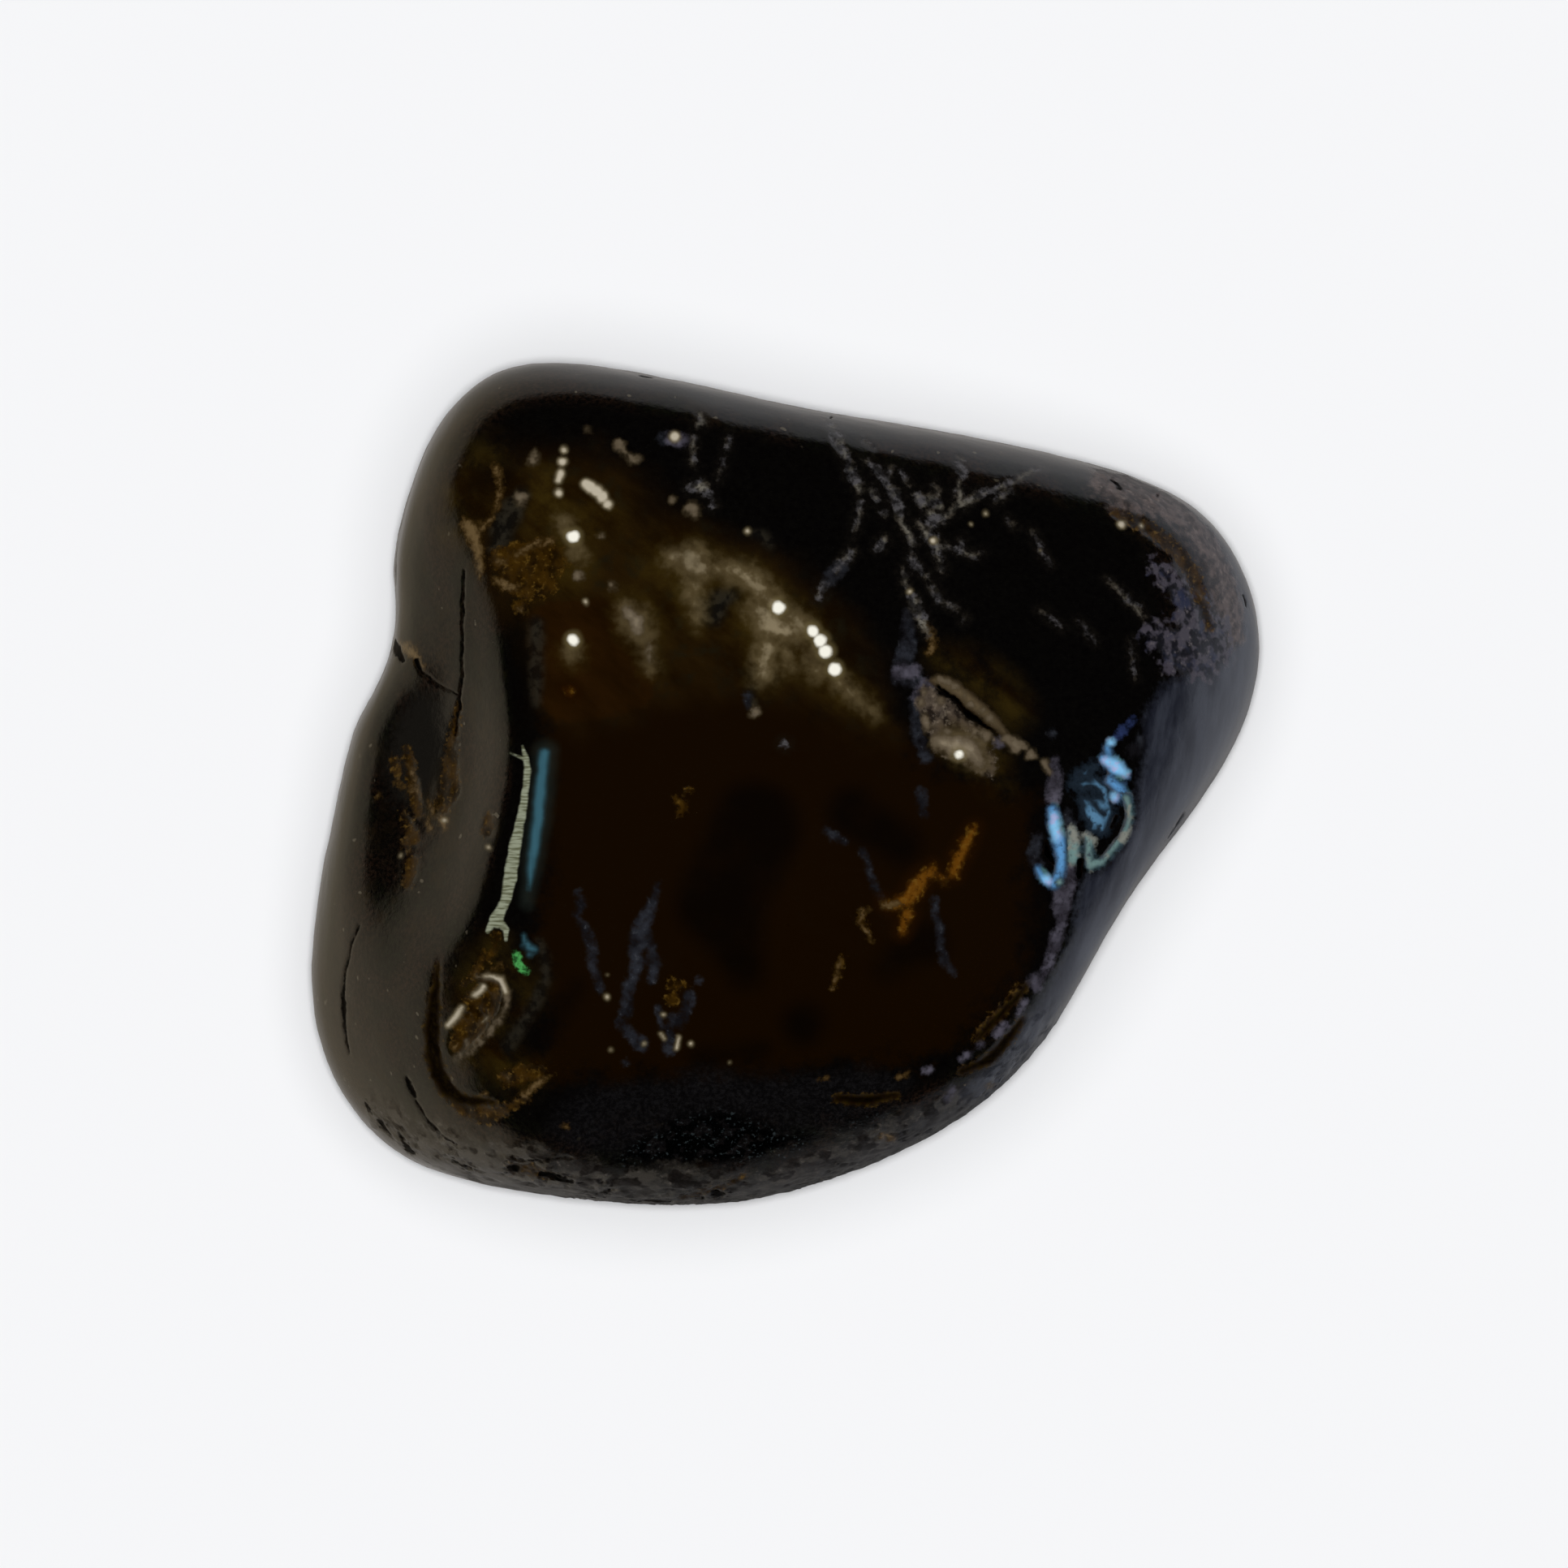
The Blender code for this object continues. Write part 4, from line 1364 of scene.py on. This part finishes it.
def copper_strands(finish, colour):
    inside = finish.mark("copper")
    colour = finish.mottle(inside, -0.35, 0.0, colour, tone(26, 11, 0), most=0.8)
    copper = finish.mottle(inside, 0.0, 0.16, tone(46, 24, 1), tone(92, 56, 9))
    bright = finish.step(finish.fine, 0.35, 0.5, 0.6, 0.0)
    copper = finish.mix(bright, copper, tone(104, 74, 22))
    copper = finish.mottle(finish.fine, 0.5, 0.7, copper, tone(34, 15, 0), most=0.8)
    return finish.mix(finish.worn("copper", 0.4, 0.09, by=finish.soft), colour, copper)


def cream_clouds(finish, colour):
    inside = finish.uneven("cloud", finish.soft, 0.1)
    cloud = finish.mottle(inside, -0.4, 0.1, tone(48, 37, 10), tone(82, 70, 46))
    cloud = finish.mottle(inside, 0.05, 0.36, cloud, tone(134, 121, 95))
    mask = finish.times(finish.step(inside, -0.6, 0.25), finish.step(finish.rays, 0.25, 0.6, 0.6, 1.0))
    return finish.mix(finish.times(mask, 0.95), colour, cloud)


def tan_chips(finish, colour):
    inside = finish.uneven("tan", finish.fine, 0.06)
    tan = finish.mottle(inside, 0.0, 0.2, tone(52, 37, 14), tone(100, 81, 52))
    return finish.mix(finish.step(inside, -0.08, 0.08), colour, tan)


# Cream chips, with the pit's rim as a painted highlight.
def cream_chips_and_rim_highlight(finish, colour):
    inside = finish.uneven("cream", finish.soft, 0.06)
    cream = finish.mottle(inside, -0.05, 0.1, tone(56, 47, 32), tone(92, 81, 65))
    cream = finish.mottle(inside, 0.08, 0.3, cream, tone(132, 120, 100))
    cream = finish.mottle(finish.fine, 0.52, 0.8, cream, tone(50, 40, 18), most=0.35)
    return finish.mix(finish.step(inside, -0.12, 0.08, 0.0, 0.95), colour, cream)


def pale_veil(finish, colour):
    inside = finish.mark("veil")
    veil = finish.mottle(inside, 0.0, 0.14, tone(52, 47, 40), tone(108, 104, 94))
    veil = finish.mottle(finish.slow, 0.45, 0.6, veil, tone(74, 72, 74))
    mist = finish.times(finish.step(inside, -0.3, 0.0), finish.step(finish.fine, 0.4, 0.7, 0.2, 0.6))
    colour = finish.mix(mist, colour, tone(22, 19, 15))
    broken = finish.step(finish.soft, 0.38, 0.58, 0.15, 1.0)
    broken = finish.times(finish.step(finish.grit, 0.36, 0.52, 0.3), broken)
    return finish.mix(finish.times(finish.worn("veil", 0.35, 0.07), broken), colour, veil)


# A violet strand, then the blue curl, whose blue is a painted sheen of cool light.
def violet_and_blue_sheen(finish, colour):
    colour = finish.mix(finish.worn("violet", 0.3, 0.1), colour, tone(38, 50, 86))
    blue = finish.mottle(finish.mark("blue"), 0.0, 0.2, tone(40, 60, 82), tone(92, 150, 202))
    blue = finish.mottle(finish.slow, 0.5, 0.7, blue, tone(70, 106, 108))
    blue = finish.mottle(finish.fine, 0.5, 0.7, blue, tone(46, 66, 90), most=0.8)
    return finish.mix(finish.worn("blue", 0.2, 0.07), colour, blue)


def aqua_curl(finish, colour):
    aqua = finish.mottle(finish.mark("aqua"), 0.0, 0.14, tone(46, 64, 70), tone(106, 134, 132))
    aqua = finish.mottle(finish.slow, 0.5, 0.65, aqua, tone(124, 126, 118))
    aqua = finish.mottle(finish.fine, 0.52, 0.7, aqua, tone(52, 62, 72), most=0.8)
    return finish.mix(finish.worn("aqua", 0.25, 0.07), colour, aqua)


# Painted highlights on the blue curl.
def blue_crown_highlights(finish, colour):
    crown = finish.mottle(finish.soft, 0.45, 0.6, tone(140, 202, 244), tone(178, 184, 222))
    mask = finish.worn("crown", 0.1, 0.12, inset=-0.05)
    return finish.mix(finish.times(mask, 0.85), colour, crown)


# Painted reflection: the iridescent teal line and its dim glow.
def teal_reflection(finish, colour):
    colour = finish.mottle(finish.mark("teal_glow"), -0.15, 0.3, colour, tone(34, 40, 36), most=0.5)
    inside = finish.mark("teal")
    teal = finish.mottle(inside, -0.05, 0.12, tone(34, 58, 64), tone(52, 90, 103))
    return finish.mix(finish.step(inside, -0.1, 0.1), colour, teal)


# Painted highlight: the green spot's iridescent flash.
def green_flash(finish, colour):
    green = finish.mottle(finish.fine, 0.4, 0.6, tone(34, 84, 40), tone(72, 150, 78))
    return finish.mix(finish.worn("green", 0.25, 0.06), colour, green)


# Painted highlight: the pale ribbed streak of a lamp's reflection, laid into the colour.
def ribbed_highlight_streak(finish, colour):
    streak = finish.mottle(finish.ribs, 0.35, 0.6, tone(92, 94, 72), tone(142, 147, 126))
    return finish.mix(finish.worn("streak", 0.03, 0.035, inset=0.02), colour, streak)


def dark_cracks(finish, colour):
    crack = finish.mottle(finish.soft, 0.45, 0.65, tone(5, 3, 1), tone(26, 13, 3))
    return finish.mix(finish.worn("crack", 0.14, 0.03), colour, crack)


# Pale beads, and the painted highlights on the pit's rim.
def pale_beads_and_pit_highlights(finish, colour):
    inside = finish.mark("bead")
    colour = finish.mottle(inside, -0.07, 0.04, colour, tone(88, 78, 56), most=0.4)
    bead = finish.mottle(inside, 0.02, 0.12, tone(116, 106, 84), tone(186, 176, 156))
    return finish.mix(finish.worn("bead", 0.06, 0.05, inset=0.03), colour, bead)


def bright_glints(finish, colour):
    colour = finish.mottle(finish.mark("glint"), -0.2, 0.04, colour, tone(112, 100, 66), most=0.5)
    return finish.mix(finish.worn("glint", 0.06, 0.06, inset=0.02), colour, tone(248, 245, 232))


LAYERS = (
    flank_grain, flank_stains, worn_sides, pale_specks, brown_table, front_haze,
    sparkling_hollow, dish_haze, amber_corner, honey_glow, brown_dome, deep_shade, grey_smoke,
    front_crust, blue_film_and_sheen, pink_crust, grey_crust, ochre_rock, rusty_groove, slate_line,
    dusky_threads, broken_rock, pale_ridge, copper_strands, cream_clouds, tan_chips,
    cream_chips_and_rim_highlight, pale_veil, violet_and_blue_sheen, aqua_curl, blue_crown_highlights, teal_reflection, green_flash,
    ribbed_highlight_streak, dark_cracks, pale_beads_and_pit_highlights, bright_glints,
)


def stone_colour(finish):
    colour = bare_skin(finish)
    for layer in LAYERS:
        colour = layer(finish, colour)
    return colour


# ------------------------------------------------------------------ gloss of the stone
def stone_roughness(finish):
    scuff = finish.step(finish.fine, 0.45, 0.8, 0.05, 0.12)
    worn = finish.times(finish.mark("side"), finish.step(finish.patches, 0.5, 0.66))
    scuff = finish.blend(worn, scuff, WORN_SIDE_ROUGHNESS)
    scuff = finish.blend(finish.step(finish.mark("pits"), 0.2, 0.6), scuff, PIT_ROUGHNESS)
    for name, ragged, soft, value in MATT_MARKS:
        scuff = finish.blend(finish.worn(name, ragged, soft), scuff, value)
    return scuff


def stone_clefts(finish):
    """Where the skin mirrors almost nothing: cracks, the groove and gaps in the crust."""
    clefts = finish.maths("MAXIMUM", finish.worn("crack", 0.14, 0.03), finish.worn("groove", 0.2, 0.1))
    gaps = finish.step(finish.fine, 0.3, 0.6, 0.3, 0.8)
    gaps = finish.times(finish.step(finish.slow, 0.5, 0.6), gaps)
    gaps = finish.times(finish.worn("front_crust", 1.6, 0.3, by=finish.patches), gaps)
    return finish.times(finish.maths("MAXIMUM", clefts, gaps), SHADE_OF_CLEFTS)


def stone_bump(finish):
    height = finish.times(finish.fine, finish.leaning(*SKIN_GRAIN))
    bump = {"Height": height, "Strength": 0.3, "Distance": MM}
    return finish.add("ShaderNodeBump", bump).outputs["Normal"]


def garnet_material():
    finish = StoneFinish("polished_garnet")
    sockets = finish.shader.inputs
    finish.give(sockets["Base Color"], stone_colour(finish))
    finish.give(sockets["Roughness"], stone_roughness(finish))
    finish.give(sockets["Metallic"], stone_clefts(finish))
    finish.give(sockets["Normal"], stone_bump(finish))
    sockets["IOR"].default_value = GARNET_IOR
    return finish.material


# ------------------------------------------------------------------ table, light, camera
def pale_table():
    ring = bmesh.new()
    bmesh.ops.create_circle(ring, cap_ends=True, segments=96, radius=TABLE_RADIUS)
    mesh = bpy.data.meshes.new("table")
    ring.to_mesh(mesh)
    ring.free()
    finish = Finish("table_white")
    finish.shader.inputs["Base Color"].default_value = TABLE_COLOUR
    finish.shader.inputs["Roughness"].default_value = 0.8
    finish.shader.inputs["Specular IOR Level"].default_value = 0.1
    mesh.materials.append(finish.material)
    table = bpy.data.objects.new("table", mesh)
    table.visible_glossy = False
    bpy.context.scene.collection.objects.link(table)
    table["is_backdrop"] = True


def overhead_light(name, width, power):
    lamp = bpy.data.lights.new(name, "AREA")
    lamp.shape = "DISK"
    lamp.size = width
    lamp.energy = power
    obj = bpy.data.objects.new(name, lamp)
    obj.location = (0, 0, LIGHT_HEIGHT)
    obj.visible_glossy = False
    obj.visible_camera = False
    bpy.context.scene.collection.objects.link(obj)


def studio_world():
    """Grey below and round the stone and almost black overhead, which its skin mirrors."""
    world = bpy.data.worlds.new("studio")
    bpy.context.scene.world = world
    world.use_nodes = True
    nodes = Nodes(world.node_tree)
    way = nodes.add("ShaderNodeTexCoord", {}).outputs["Generated"]
    parts = nodes.add("ShaderNodeSeparateXYZ", {0: way}).outputs
    height = nodes.step(parts["Z"], -1.0, 1.0, way="LINEAR")
    ramp = nodes.add("ShaderNodeValToRGB", {"Fac": height})
    stops = ramp.color_ramp.elements
    while len(stops) < len(SURROUNDINGS):
        stops.new(0.5)
    for stop, (level, brightness) in zip(stops, SURROUNDINGS):
        stop.position = (level + 1) / 2
        stop.color = (brightness, brightness, brightness, 1)
    across = nodes.step(parts["X"], -TINT_REACH, TINT_REACH, way="LINEAR")
    tint = nodes.mix(across, WARM_LEFT, COOL_RIGHT)
    level_way = nodes.vector("MULTIPLY", way, (1, 1, 0)).outputs[0]
    level_way = nodes.vector("NORMALIZE", level_way).outputs[0]
    facing = nodes.vector("DOT_PRODUCT", level_way, DARK_SIDE).outputs["Value"]
    strength = nodes.step(facing, *DARK_EDGE, 1.0, DARK_SHARE, way="LINEAR")
    background = nodes.tree.nodes["Background"].inputs
    nodes.give(background["Strength"], strength)
    nodes.give(background["Color"], nodes.mix(1.0, ramp.outputs["Color"], tint, way="MULTIPLY"))


def overhead_camera(core):
    """Looks straight down on the stone's core from far away, so nothing is foreshortened."""
    lens = bpy.data.cameras.new("camera")
    lens.lens = LENS
    lens.sensor_width = SENSOR
    lens.clip_start = 0.01
    lens.clip_end = 10.0
    camera = bpy.data.objects.new("camera", lens)
    away = FRAME_WIDTH * MM * LENS / SENSOR
    camera.location = (core[0] * MM, core[1] * MM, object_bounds()[1][2] / 2 + away)
    bpy.context.scene.collection.objects.link(camera)
    bpy.context.scene.camera = camera


garnet, core_place = stone_surface()
garnet.data.materials.append(garnet_material())
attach(garnet, BODY)
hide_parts(STONE)

pale_table()
for light in LIGHTS:
    overhead_light(*light)
studio_world()
overhead_camera(core_place)
bpy.context.scene.view_settings.view_transform = "Standard"
